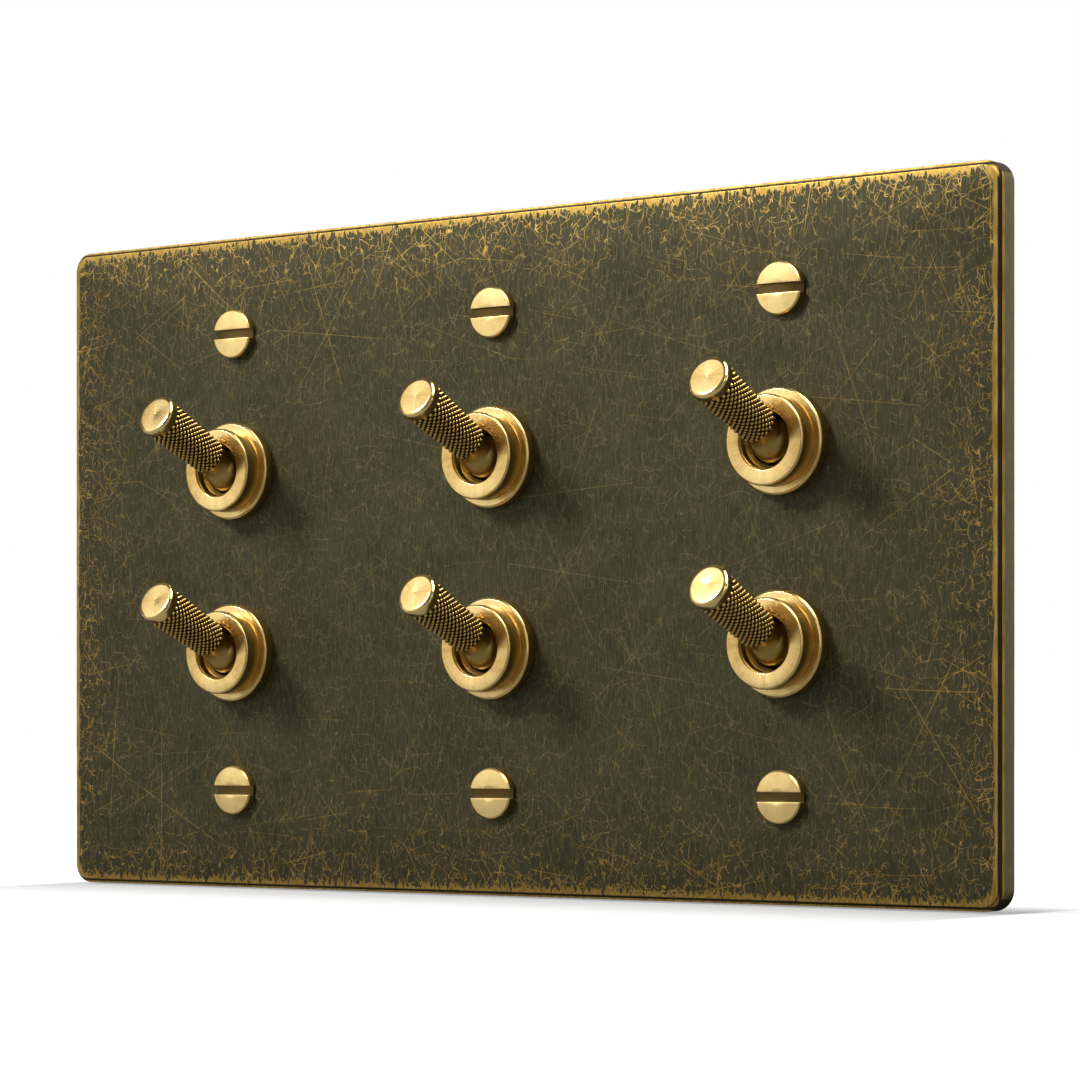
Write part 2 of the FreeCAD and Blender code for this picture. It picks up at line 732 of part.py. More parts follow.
def make_housing():
    """The moulded case behind a yoke: open to the front, with pockets for the terminals in its back."""
    body = new_body("housing")
    front = "(back_recess - yoke_thick)"
    wide, high = "housing_wide / 2", "housing_high / 2"
    outline = new_sketch(body, "housing_outline", "XZ_Plane", f"{front} - housing_deep")
    draw_box(outline, f"-{wide}", wide, f"-{high}", high)
    pad(body, "housing_block", outline, "housing_deep")
    soften(body, "housing_corners", "Fillet", "housing_round", lambda edge: runs_along(edge, 1))

    seat = new_sketch(body, "flange_seat_place", "XZ_Plane", f"{front} - bush_flange_thick - hole_gap")
    draw_circle(seat, "0", "0", "bush_flange_radius + hole_gap")
    cut_into(body, "flange_seat", seat, "bush_flange_thick + hole_gap", reverse=True)

    cavity = new_sketch(body, "cavity_outline", "XZ_Plane", f"{front} - cavity_floor")
    rise = "(housing_high / 2 - cavity_wall)"
    draw_box(cavity, f"-{CAVITY_HALF}", CAVITY_HALF, f"-{rise}", rise)
    cut_into(body, "cavity", cavity, "cavity_floor", reverse=True)

    end = "back_recess - bridge_long - bridge_radius"
    screws = new_sketch(body, "bridge_screw_places", "XZ_Plane", end)
    for side in (-1, 1):
        draw_circle(screws, f"({side} * bridge_place)", "0", "bridge_radius + bridge_gap")
    cut_into(body, "bridge_screw_holes", screws, "bridge_long + bridge_radius", reverse=True)

    near, far = "(housing_wide / 2 - pocket_inset - pocket_wide)", "(housing_wide / 2 - pocket_inset)"
    pockets = new_sketch(body, "terminal_pocket_outlines", "XZ_Plane", f"{front} - housing_deep")
    low, top = "(side_pocket_place - side_pocket_high / 2)", "(side_pocket_place + side_pocket_high / 2)"
    draw_box(pockets, f"-{far}", f"-{near}", "-common_pocket_high / 2", "common_pocket_high / 2")
    draw_box(pockets, near, far, low, top)
    draw_box(pockets, near, far, f"-{top}", f"-{low}")
    deep = "housing_deep - cavity_floor + strip_thick"
    cut_into(body, "terminal_pockets", pockets, deep, reverse=True)

    windows = new_sketch(body, "window_outlines", "XZ_Plane", f"{front} - cavity_floor")
    reach = f"({CAVITY_HALF} - hole_gap)"
    draw_box(windows, f"-{far}", f"-{reach}", "-window_high / 2", "window_high / 2")
    for side in (1, -1):
        low = f"({side} * contact_place - window_high / 2)"
        high = f"({side} * contact_place + window_high / 2)"
        draw_box(windows, reach, far, low, high)
    cut_into(body, "windows", windows, "strip_thick", reverse=True)

    wires = new_sketch(body, "wire_place_left", "YZ_Plane", "-housing_wide / 2")
    draw_circle(wires, WIRE_Y, "0", "wire_funnel")
    cut_into(body, "wire_hole_left", wires, "pocket_inset", reverse=True)
    wires = new_sketch(body, "wire_places_right", "YZ_Plane", "housing_wide / 2 - pocket_inset")
    for side in (-1, 1):
        draw_circle(wires, WIRE_Y, f"({side} * side_pocket_place)", "wire_funnel")
    cut_into(body, "wire_holes_right", wires, "pocket_inset", reverse=True)
    return body


def terminal_block(body, side, place, high):
    """The clamp block of a terminal in its pocket, with a wire hole from the side and a screw hole from behind."""
    near = "(housing_wide / 2 - pocket_inset - pocket_wide + block_gap)"
    far = "(housing_wide / 2 - pocket_inset - block_gap)"
    left, right = (near, far) if side > 0 else (f"-{far}", f"-{near}")
    half = f"({high} / 2 - block_gap)"
    outline = new_sketch(body, f"{body.Name}_block_outline", "XZ_Plane", f"-{BLOCK_END_Y}")
    draw_box(outline, left, right, f"{place} - {half}", f"{place} + {half}")
    pad(body, f"{body.Name}_block", outline, f"{BLOCK_END_Y} - {BLOCK_Y}")
    wire = new_sketch(body, f"{body.Name}_wire_place", "YZ_Plane", left)
    draw_circle(wire, WIRE_Y, place, "wire_radius")
    cut_into(body, f"{body.Name}_wire_hole", wire, "pocket_wide", reverse=True)
    screw = new_sketch(body, f"{body.Name}_screw_place", "XZ_Plane", f"-{BLOCK_END_Y}")
    draw_circle(screw, block_middle(side), place, "clamp_radius + thread_gap")
    cut_into(body, f"{body.Name}_screw_hole", screw, f"{BLOCK_END_Y} - {WIRE_Y}", reverse=True)


def block_middle(side):
    return f"({side} * (housing_wide / 2 - pocket_inset - pocket_wide / 2))"


def make_common_terminal():
    """The saddle that carries the rocker's trunnions, its strip on the cavity's floor and its clamp block."""
    body = new_body("common_terminal")
    reach = "(rocker_wide / 2 + block_gap + saddle_ear)"
    block_side = "(housing_wide / 2 - pocket_inset - pocket_wide + block_gap)"
    strip = new_sketch(body, "common_strip_outline", "XZ_Plane", f"-{FLOOR_Y}")
    draw_box(strip, f"-{block_side} - block_gap", reach, "-strip_wide / 2", "strip_wide / 2")
    pad(body, "common_strip", strip, "strip_thick")
    inner = "(rocker_wide / 2 + block_gap)"
    ears = new_sketch(body, "saddle_ear_outlines", "XZ_Plane", f"-{FLOOR_Y}")
    draw_box(ears, inner, reach, "-saddle_wide / 2", "saddle_wide / 2")
    draw_box(ears, f"-{reach}", f"-{inner}", "-saddle_wide / 2", "saddle_wide / 2")
    pad(body, "saddle_ears", ears, f"{FLOOR_Y} - {ROCKER_Y}")
    notch = new_sketch(body, "saddle_notch_place", "YZ_Plane", f"-{reach}")
    draw_circle(notch, ROCKER_Y, "0", "trunnion_radius + trunnion_gap")
    cut_into(body, "saddle_notch", notch, f"2 * {reach}", reverse=True)
    terminal_block(body, -1, "0", "common_pocket_high")
    return body


def make_fixed_terminal(name, side):
    """A strip on the cavity's floor with a raised contact under one arm of the rocker, and its clamp block."""
    body = new_body(name)
    place = f"({side} * contact_place)"
    block_side = "(housing_wide / 2 - pocket_inset - pocket_wide + block_gap)"
    strip = new_sketch(body, f"{name}_strip_outline", "XZ_Plane", f"-{FLOOR_Y}")
    low, high = f"{place} - strip_wide / 2", f"{place} + strip_wide / 2"
    draw_box(strip, "-strip_wide / 2", f"{block_side} + block_gap", low, high)
    pad(body, f"{name}_strip", strip, "strip_thick")
    tilt = math.radians(value("rocker_tilt"))
    lowest = (
        value(ROCKER_Y)
        + value("arm_back + contact_high") * math.cos(tilt)
        + value("contact_place + contact_radius") * math.sin(tilt)
    )
    contact_y = value("contact_place") * math.cos(tilt) - value("arm_back + contact_high") * math.sin(tilt)
    button = new_sketch(body, f"{name}_contact_place", "XZ_Plane", f"strip_thick - {FLOOR_Y}")
    circle = Part.Circle(
        FreeCAD.Vector(0, side * contact_y, 0), FreeCAD.Vector(0, 0, 1), value("contact_radius")
    )
    button.addGeometry(circle, False)
    button.addConstraint(Sketcher.Constraint("Block", 0))
    rise = body.newObject("PartDesign::Pad", f"{name}_contact")
    rise.Profile = button
    rise.Length = value(f"{FLOOR_Y} - strip_thick - fixed_gap") - lowest
    doc.recompute()
    terminal_block(body, 1, f"({side} * side_pocket_place)", "side_pocket_high")
    return body


face_plate = make_face_plate()
plate_screw = make_plate_screw()
bridge_screw = make_bridge_screw()
terminal_screw = make_terminal_screw()
yoke = make_yoke()
collar = make_collar()
bush = make_bush()
pivot_pin = make_pivot_pin()
dolly = make_dolly()
plunger = make_plunger()
spring = make_spring()
rocker = make_rocker()
housing = make_housing()
terminals = [
    make_common_terminal(),
    make_fixed_terminal("upper_terminal", 1),
    make_fixed_terminal("lower_terminal", -1),
]

pieces = [face_plate]
groups = {"plate_screws": [], "pivot_pins": [], "bridge_screws": [], "terminal_screws": []}


def grouped(group, master, across, up):
    """One more fastener for a group of like ones."""
    copy = doc.addObject("App::Link", f"{group}_{len(groups[group]) + 1}")
    copy.LinkedObject = master
    copy.setExpression("Placement.Base.x", bound(across))
    copy.setExpression("Placement.Base.z", bound(up))
    groups[group].append(copy)


for column in COLUMNS:
    across = column_place(column)
    pieces.append(placed(f"yoke_{column}", [yoke], across))
    for row in ROWS:
        up = row_place(row)
        spot = f"{row}_{column}"
        lever = "-dolly_tilt"
        pieces.append(placed(f"collar_{spot}", [collar], across, "0", up))
        pieces.append(placed(f"bush_{spot}", [bush], across, "0", up))
        pieces.append(placed(f"dolly_{spot}", [dolly], across, BALL_Y, up, lever))
        pieces.append(placed(f"plunger_{spot}", [plunger], across, BALL_Y, up, lever))
        pieces.append(placed(f"spring_{spot}", [spring], across, BALL_Y, up, lever))
        pieces.append(placed(f"rocker_{spot}", [rocker], across, ROCKER_Y, up, "rocker_tilt"))
        pieces.append(placed(f"housing_{spot}", [housing], across, "0", up))
        pieces.append(placed(f"terminals_{spot}", terminals, across, "0", up))
        grouped("plate_screws", plate_screw, across, screw_place(row))
        grouped("pivot_pins", pivot_pin, across, up)
        for side in (-1, 1):
            grouped("bridge_screws", bridge_screw, f"{across} + {side} * bridge_place", up)
            high = f"{up} + {side} * side_pocket_place"
            grouped("terminal_screws", terminal_screw, f"{across} + {block_middle(1)}", high)
        grouped("terminal_screws", terminal_screw, f"{across} + {block_middle(-1)}", up)

for name, copies in groups.items():
    group = doc.addObject("Part::Compound", name)
    group.Label = name
    group.Links = copies
    pieces.append(group)

doc.recompute()

for item in doc.Objects:
    if "Invalid" in item.State or "Error" in item.State:
        raise RuntimeError(f"{item.Name} failed: {item.State}")
for piece in pieces:
    if piece.Shape.isNull() or not piece.Shape.isValid():
        raise RuntimeError(f"{piece.Label} has no valid shape")

os.makedirs("parts", exist_ok=True)
for piece in pieces:
    piece.Shape.exportStep(f"parts/{piece.Label}.step")
print(len(pieces), "pieces written")
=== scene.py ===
import math

import bmesh
import bpy
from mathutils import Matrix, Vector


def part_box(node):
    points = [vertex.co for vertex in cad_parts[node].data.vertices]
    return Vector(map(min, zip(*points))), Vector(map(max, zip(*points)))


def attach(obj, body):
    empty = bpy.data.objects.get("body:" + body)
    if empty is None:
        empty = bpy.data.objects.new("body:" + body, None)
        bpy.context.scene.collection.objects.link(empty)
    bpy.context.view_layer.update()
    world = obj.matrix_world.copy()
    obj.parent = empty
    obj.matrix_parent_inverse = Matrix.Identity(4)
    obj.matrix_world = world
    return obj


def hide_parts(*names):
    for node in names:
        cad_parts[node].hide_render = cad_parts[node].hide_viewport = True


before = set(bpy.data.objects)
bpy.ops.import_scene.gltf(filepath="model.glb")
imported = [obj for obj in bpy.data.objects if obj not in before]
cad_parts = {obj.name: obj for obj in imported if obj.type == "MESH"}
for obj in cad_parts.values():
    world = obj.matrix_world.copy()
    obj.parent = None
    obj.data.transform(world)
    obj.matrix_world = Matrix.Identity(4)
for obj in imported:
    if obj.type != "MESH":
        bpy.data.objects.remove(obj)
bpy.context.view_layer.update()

# Face plate: one slab of brass, milled with a low step round its front and darkened all over with a
# patina. It is brushed upwards, and handling has scratched it and worn its rim back to bare brass.
# The plate screws hold it on the wall, and the bushes of the switches come through it.

MM = 0.001
COLUMNS = {"left": -1, "middle": 0, "right": 1}
ROWS = {"top": 1, "bottom": -1}
SPOTS = [f"{row}_{column}" for row in ROWS for column in COLUMNS]

plate_low, plate_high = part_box("face_plate")
PLATE_WIDE = plate_high.x - plate_low.x
PLATE_HIGH = plate_high.z - plate_low.z
PLATE_FACE = plate_low.y
PLATE_CORNER = 2.6 * MM
LIP_INSET = 0.5 * MM
LIP_STEP = 0.5 * MM
COVE_RADIUS = 0.28 * MM
LIP_ROUND = 0.14 * MM
SLAB_ROUND = 0.1 * MM
BACK_RIM = 4.0 * MM
BACK_RECESS = 1.5 * MM
BUSH_HOLE = 4.9 * MM
SCREW_HOLE = 1.95 * MM
CORNER_STEPS = 16
HOLE_STEPS = 72

PATINA_DARK = (0.037, 0.034, 0.0165)
PATINA_WARM = (0.051, 0.0465, 0.023)
PATINA_LINE = (0.128, 0.113, 0.052)
# Painted shade for the cove of the rim's step.
COVE_SHADE = (0.04, 0.03, 0.012)
WORN_BRASS = (0.31, 0.19, 0.033)
PALE_BRASS = (0.52, 0.34, 0.09)


def middle(node):
    """Where a CAD node's middle is, across and up."""
    low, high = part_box(node)
    return (low.x + high.x) / 2, (low.z + high.z) / 2


COLUMN_PITCH = middle("collar_top_right")[0]
ROW_PITCH = 2 * middle("collar_top_right")[1]
screws_low, screws_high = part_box("plate_screws")
HEAD_RADIUS = 3.2 * MM
SCREW_PITCH = screws_high.z - screws_low.z - 2 * HEAD_RADIUS


class Wire:
    """One output of a node tree. Sums on it add Math nodes, and node() adds a node of any other kind."""

    def __init__(self, tree, socket=None):
        self.tree = tree
        self.socket = socket

    def node(self, kind, settings=None, inputs=None, output=0):
        added = self.tree.nodes.new(kind)
        for name, setting in (settings or {}).items():
            setattr(added, name, setting)
        for name, given in (inputs or {}).items():
            if isinstance(given, Wire):
                self.tree.links.new(given.socket, added.inputs[name])
            else:
                added.inputs[name].default_value = given
        return Wire(self.tree, added.outputs[output] if added.outputs else None)

    def also(self, output):
        """Another output of the same node."""
        return Wire(self.tree, self.socket.node.outputs[output])

    def math(self, operation, *terms):
        return self.node("ShaderNodeMath", {"operation": operation}, dict(enumerate(terms)))

    def vector(self, operation, *terms):
        return self.node("ShaderNodeVectorMath", {"operation": operation}, dict(enumerate(terms)))

    def __add__(self, other):
        return self.math("ADD", self, other)

    __radd__ = __add__

    def __sub__(self, other):
        return self.math("SUBTRACT", self, other)

    def __rsub__(self, other):
        return self.math("SUBTRACT", other, self)

    def __mul__(self, other):
        return self.math("MULTIPLY", self, other)

    __rmul__ = __mul__

    def __truediv__(self, other):
        return self.math("DIVIDE", self, other)

    def __abs__(self):
        return self.math("ABSOLUTE", self)

    def rise(self, low, high):
        """0 on the side of low and 1 on the side of high, smooth between them."""
        limits = {"Value": self, "From Min": low, "From Max": high}
        return self.node("ShaderNodeMapRange", {"interpolation_type": "SMOOTHSTEP"}, limits)

    def between(self, first, second):
        """The first colour where this is 0 and the second where it is 1."""
        settings = {"data_type": "RGBA", "clamp_factor": True}
        colours = {0: self}
        for index, colour in ((6, first), (7, second)):
            colours[index] = colour if isinstance(colour, Wire) else (*colour, 1.0)
        return self.node("ShaderNodeMix", settings, colours, 2)


def new_finish(name):
    """A new material and a wire to start its nodes from."""
    material = bpy.data.materials.new(name)
    material.use_nodes = True
    material.node_tree.nodes.clear()
    return material, Wire(material.node_tree)


def surface(start, sockets):
    shader = start.node("ShaderNodeBsdfPrincipled", inputs=sockets, output="BSDF")
    start.node("ShaderNodeOutputMaterial", inputs={"Surface": shader})


def in_millimetres(start):
    place = start.node("ShaderNodeTexCoord", output="Object")
    return place.node("ShaderNodeVectorMath", {"operation": "SCALE"}, {0: place, "Scale": 1 / MM})


def split(vector):
    across = vector.node("ShaderNodeSeparateXYZ", inputs={0: vector})
    return across, across.also("Y"), across.also("Z")


def join(across, deep, up):
    start = next(part for part in (across, deep, up) if isinstance(part, Wire))
    return start.node("ShaderNodeCombineXYZ", inputs={0: across, 1: deep, 2: up})


def cloud(vector, scale, detail=2.0, stretch=(1.0, 1.0, 1.0), output=0):
    """Noise with so many bumps to the millimetre, drawn out by the stretch."""
    drawn = vector.vector("MULTIPLY", vector, stretch)
    inputs = {"Vector": drawn, "Scale": scale, "Detail": detail, "Roughness": 0.6}
    return drawn.node("ShaderNodeTexNoise", {}, inputs, output)


def drifted(vector, scale, reach):
    """The vector, pushed about by soft noise as far as the reach."""
    drift = cloud(vector, scale, 1.0, output="Color")
    drift = drift.vector("SUBTRACT", drift, (0.5, 0.5, 0.5))
    pushed = {0: drift, 1: reach, 2: vector}
    return vector.node("ShaderNodeVectorMath", {"operation": "MULTIPLY_ADD"}, pushed)


def hairs(plane, pitch, strokes, bow, seed, wide):
    """A few hair scratches in each cell of a random net, each bowed and at an angle of its own."""
    moved = plane.vector("ADD", plane, (seed, seed * 1.7, 0.0))
    cell = moved.node(
        "ShaderNodeTexVoronoi",
        {"voronoi_dimensions": "2D"},
        {"Vector": moved, "Scale": 1 / pitch},
        "Position",
    )
    turn, bend, length = split(cell.also("Color"))
    side, rise, _ = split(moved.vector("SUBTRACT", moved, cell))
    lines = 0.0
    for stroke in range(strokes):
        angle = turn * math.tau + length * 3.0 + stroke * 1.1
        lean, stand = moved.math("SINE", angle), moved.math("COSINE", angle)
        along = side * lean + rise * stand
        aside = side * stand - rise * lean + (bend - 0.5) * ((stroke + 0.4) * pitch * 0.5)
        bowed = abs(aside + along * along * ((bend - 0.5) * bow))
        lines = bowed.rise(wide, wide * 0.3) * abs(along).rise(pitch * 0.75, pitch * 0.45) + lines
    return lines * length.rise(0.0, 0.8)


def curls(plane, pitch, wide, seed):
    """A broken net of curled hair lines, drawn out upwards."""
    moved = plane.vector("ADD", plane, (seed, seed * 1.7, 0.0))
    bent = drifted(moved, 0.8 / pitch, (1.5 * pitch, 2.2 * pitch, 0.0))
    bent = bent.vector("MULTIPLY", bent, (1.0, 0.6, 1.0))
    edge = bent.node(
        "ShaderNodeTexVoronoi",
        {"voronoi_dimensions": "2D", "feature": "DISTANCE_TO_EDGE"},
        {"Vector": bent, "Scale": 1 / pitch},
    )
    kept = cloud(moved, 0.8 / pitch, 1.0).rise(0.46, 0.54)
    return (edge * pitch).rise(wide, wide * 0.3) * kept


def make_aged_brass():
    """Dark patina over brushed brass, with hair scratches, a crazed border and a rim worn bright; painted
    shade in the cove of the rim's step, and painted light on the side face.
    """
    material, start = new_finish("aged_brass")
    place = in_millimetres(start)
    across, deep, up = split(place)
    plane = join(across - deep, up, 0.0)
    bent = drifted(plane, 0.35, (2.2, 2.2, 0.0))

    from_side = PLATE_WIDE / 2 / MM - abs(across)
    from_end = PLATE_HIGH / 2 / MM - abs(up)
    inset = start.math("SMOOTH_MIN", from_side, from_end, 2.0)
    patches = cloud(plane, 0.10, 3.0)
    spikes = cloud(plane, 1.0, 2.0, (1.5, 0.22, 1.0))
    grain = cloud(plane, 1.0, 3.0, (6.0, 0.4, 1.0))
    border = start.math("EXPONENT", inset * -0.13) * patches.rise(0.25, 0.6)

    small = curls(plane, pitch=0.9, wide=0.042, seed=3.0)
    large = curls(plane, pitch=1.7, wide=0.05, seed=51.0)
    middling = hairs(bent, pitch=3.4, strokes=2, bow=0.12, seed=17.0, wide=0.07)
    long = hairs(plane, pitch=16.0, strokes=3, bow=0.004, seed=91.0, wide=0.08)
    straight = hairs(plane, pitch=7.5, strokes=3, bow=0.01, seed=29.0, wide=0.07)
    net = (small + large) * start.math("EXPONENT", inset * -0.45) * patches.rise(0.25, 0.5)

    end_rim = (from_end + (spikes - 0.5) * 4.5).rise(1.25, 0.9)
    side_rim = (from_side + (patches - 0.5) * 0.8 + (spikes - 0.5) * 1.4).rise(1.2, 0.95)
    corner_rim = (from_end + from_side + (spikes - 0.5) * 6.0).rise(4.0, 3.3)
    rim = start.math("MAXIMUM", start.math("MAXIMUM", end_rim, side_rim), corner_rim)
    faint = small * 0.45 + large * 0.5 + middling * 0.5 + long * 0.4
    curled = (small + large + middling) * (0.05 + border * 0.8)
    golden = net * 1.5 + curled + (long + straight) * (0.12 + border)
    on_face = start.math("MAXIMUM", rim, golden)
    front, step = PLATE_FACE / MM, (PLATE_FACE + LIP_STEP) / MM
    edges = start.math("MAXIMUM", deep.rise(step + 0.2, step + 0.05), deep.rise(-0.3, -0.12))
    on_side = edges + grain.rise(0.45, 0.75) * 0.3
    face = deep.rise(front + 0.06, front + 0.03)
    worn = start.math("MINIMUM", face * on_face + (1.0 - face) * on_side, 1.0)

    patina = patches.rise(0.3, 0.7).between(PATINA_DARK, PATINA_WARM)
    # Painted light: the side face's patina is made lighter; elsewhere this is the brushing grain and faint
    # scratches.
    grain_and_side_light = grain.rise(0.35, 0.8) * 0.6 + faint * face + (1.0 - face) * 0.8
    patina = grain_and_side_light.between(patina, PATINA_LINE)
    brass = spikes.rise(0.35, 0.65).between(WORN_BRASS, PALE_BRASS)
    # Painted shade: the cove of the rim's step is darkened.
    groove = inset.rise(0.2, 0.27) * inset.rise(0.6, 0.52) * (1.0 - face)
    height = start.node(
        "ShaderNodeBump",
        inputs={"Strength": 0.25, "Distance": 0.02 * MM, "Height": grain},
    )
    surface(
        start,
        {
            "Base Color": groove.between(worn.between(patina, brass), COVE_SHADE),
            "Metallic": 0.85,
            "Roughness": 0.56 - worn * 0.16,
            "Normal": height,
        },
    )
    return material


def finished(mesh, material, crease=35.0):
    """Give a mesh its finish and smooth shading, with the edges sharper than the crease left hard."""
    mesh.materials.clear()
    mesh.materials.append(material)
    mesh.polygons.foreach_set("use_smooth", [True] * len(mesh.polygons))
    mesh.polygons.foreach_set("material_index", [0] * len(mesh.polygons))
    mesh.set_sharp_from_angle(angle=math.radians(crease))
    mesh.update()
    return mesh


def new_piece(name, mesh):
    piece = bpy.data.objects.new(name, mesh)
    bpy.context.scene.collection.objects.link(piece)
    return piece


def quarter(centre, radius, start_angle, steps=4):
    """Points on a quarter circle from the start angle, anticlockwise for a positive radius."""
    angles = [start_angle + math.copysign(step * 90 / steps, radius) for step in range(steps + 1)]
    size = abs(radius)
    return [
        (centre[0] + size * math.cos(math.radians(a)), centre[1] + size * math.sin(math.radians(a)))
        for a in angles
    ]


def rectangle_loop(form, inset, deep, corner):
    """Corner points of a round-cornered rectangle set in from the plate's outline, at one depth."""
    points = []
    half_wide, half_high = PLATE_WIDE / 2 - inset, PLATE_HIGH / 2 - inset
    for turn, (side, rise) in enumerate(((1, 1), (-1, 1), (-1, -1), (1, -1))):
        centre = (side * (half_wide - corner), rise * (half_high - corner))
        points += quarter(centre, corner, turn * 90, CORNER_STEPS)
    return [form.verts.new((x, deep, z)) for x, z in points]


def circle_loop(form, across, up, radius, deep):
    angles = [2 * math.pi * step / HOLE_STEPS for step in range(HOLE_STEPS)]
    return [
        form.verts.new((across + radius * math.cos(a), deep, up + radius * math.sin(a))) for a in angles
    ]


def bridge(form, first, second):
    """Faces between two loops that have as many points."""
    count = len(first)
    for index in range(count):
        following = (index + 1) % count
        form.faces.new((first[index], first[following], second[following], second[index]))


def fill_between(form, loops):
    """Fill the flat region between an outer loop and the loops inside it."""
    edges = []
    for loop in loops:
        for index, vert in enumerate(loop):
            pair = (vert, loop[(index + 1) % len(loop)])
            edges.append(form.edges.get(pair) or form.edges.new(pair))
    bmesh.ops.triangle_fill(form, use_beauty=True, use_dissolve=False, edges=edges)


def make_face_plate(material):
    form = bmesh.new()
    slab_front = PLATE_FACE + LIP_STEP
    cove = (LIP_INSET - COVE_RADIUS, slab_front - COVE_RADIUS)
    profile = [(SLAB_ROUND, 0.0), (0.0, -SLAB_ROUND)]
    profile += quarter((SLAB_ROUND, slab_front + SLAB_ROUND), SLAB_ROUND, 180, 3)
    profile += quarter(cove, -COVE_RADIUS, 90, 5)
    profile += quarter((LIP_INSET + LIP_ROUND, PLATE_FACE + LIP_ROUND), LIP_ROUND, 180, 4)
    loops = [
        rectangle_loop(form, inset, deep, max(PLATE_CORNER - inset, 0.2 * MM)) for inset, deep in profile
    ]
    for first, second in zip(loops, loops[1:]):
        bridge(form, first, second)

    recess_corner = 0.4 * MM
    back_inner = rectangle_loop(form, BACK_RIM, 0.0, recess_corner)
    floor_outer = rectangle_loop(form, BACK_RIM, -BACK_RECESS, recess_corner)
    bridge(form, back_inner, floor_outer)
    front_holes, back_holes = [], []
    for column in COLUMNS.values():
        across = column * COLUMN_PITCH
        for row in ROWS.values():
            for up, radius in ((row * ROW_PITCH / 2, BUSH_HOLE), (row * SCREW_PITCH / 2, SCREW_HOLE)):
                front = circle_loop(form, across, up, radius, PLATE_FACE)
                back = circle_loop(form, across, up, radius, -BACK_RECESS)
                bridge(form, front, back)
                front_holes.append(front)
                back_holes.append(back)
    fill_between(form, [loops[-1], *front_holes])
    fill_between(form, [floor_outer, *back_holes])
    fill_between(form, [loops[0], back_inner])
    bmesh.ops.recalc_face_normals(form, faces=form.faces)
    mesh = bpy.data.meshes.new("face_plate_milled")
    form.to_mesh(mesh)
    form.free()
    return new_piece("face_plate_milled", finished(mesh, material, 40.0))


aged_brass = make_aged_brass()
face_plate = make_face_plate(aged_brass)
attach(face_plate, "fixed")
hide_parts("face_plate")

# Plate screws: six slotted cheese-head screws of solid brass, turned from bar and polished. They go
# through the plate and the yokes into the wall box, with their slots level.

SLOT_WIDE = 1.2 * MM
SLOT_DEEP = 0.85 * MM
HEAD_FRONT = screws_low.y
SCREW_END = screws_high.y
BRIGHT = (0.95, 0.70, 0.29)
# The deeper brass serves both the real toning and the dark sectors of the painted sheen.
BRIGHT_DEEP = (0.62, 0.40, 0.125)
# Painted shade: a darker brass for the turned sides of polished pieces.
SIDE_SHADE_BRASS = (0.52, 0.36, 0.11)
# Painted shade: shaded brass for the bushes, necks and balls in the collars' mouths, and for a slot's floor.
SHADE_BRASS = (0.42, 0.29, 0.09)
SHADE_BRASS_DEEP = (0.15, 0.095, 0.03)
TURNED_STEPS = 96
RINGS_PER_MM = 90.0


def turned_mesh(name, profile, steps=TURNED_STEPS):
    """A closed piece turned about the Y axis, from pairs of place along the axis and radius."""
    form = bmesh.new()
    rings = []
    for along, radius in profile:
        if radius < 1e-7:
            rings.append([form.verts.new((0.0, along, 0.0))])
            continue
        angles = [2 * math.pi * step / steps for step in range(steps)]
        rings.append([form.verts.new((radius * math.cos(a), along, radius * math.sin(a))) for a in angles])
    closed = len(rings[0]) > 1 and len(rings[-1]) > 1
    for first, second in zip(rings, rings[1:] + rings[:1] if closed else rings[1:]):
        for index in range(steps):
            following = (index + 1) % steps
            corners = [first[index % len(first)], first[following % len(first)]]
            corners += [second[following % len(second)], second[index % len(second)]]
            form.faces.new(list(dict.fromkeys(corners)))
    bmesh.ops.recalc_face_normals(form, faces=form.faces)
    mesh = bpy.data.meshes.new(name)
    form.to_mesh(mesh)
    form.free()
    return mesh


def eased(profile, size, closed=False):
    """The profile with each inner corner rounded by a small arc of about that size."""
    points = []
    count = len(profile)
    for index, point in enumerate(profile):
        if not closed and index in (0, count - 1):
            points.append(point)
            continue
        before, after = profile[index - 1], profile[(index + 1) % count]
        back, ahead = math.dist(point, before), math.dist(point, after)
        cut = min(size, back * 0.4, ahead * 0.4)
        start = [p + (b - p) * cut / back for p, b in zip(point, before)]
        end = [p + (a - p) * cut / ahead for p, a in zip(point, after)]
        for share in (0.0, 0.33, 0.67, 1.0):
            points.append(
                tuple(
                    (1 - share) ** 2 * s + 2 * share * (1 - share) * p + share**2 * e
                    for s, p, e in zip(start, point, end)
                )
            )
    return points


def baked(piece, material, crease=35.0):
    """Turn the piece's modifiers into a plain mesh of its own."""
    graph = bpy.context.evaluated_depsgraph_get()
    mesh = bpy.data.meshes.new_from_object(
        piece.evaluated_get(graph), preserve_all_data_layers=True, depsgraph=graph
    )
    piece.modifiers.clear()
    piece.data = finished(mesh, material, crease)
    return piece


def shape_tree(name, inputs):
    """A tree of geometry nodes with named inputs, and a wire to start from."""
    tree = bpy.data.node_groups.new(name, "GeometryNodeTree")
    tree.interface.new_socket("Geometry", in_out="OUTPUT", socket_type="NodeSocketGeometry")
    tree.interface.new_socket("Geometry", in_out="INPUT", socket_type="NodeSocketGeometry")
    for word, kind in inputs.items():
        tree.interface.new_socket(word, in_out="INPUT", socket_type=kind)
    return tree, Wire(tree).node("NodeGroupInput")


def shaped(piece, tree, values):
    """Put the tree on the piece with these values for its inputs."""
    modifier = piece.modifiers.new(tree.name, "NODES")
    modifier.node_group = tree
    for item in tree.interface.items_tree:
        if item.in_out == "INPUT" and item.name in values:
            modifier[item.identifier] = values[item.name]
    return piece


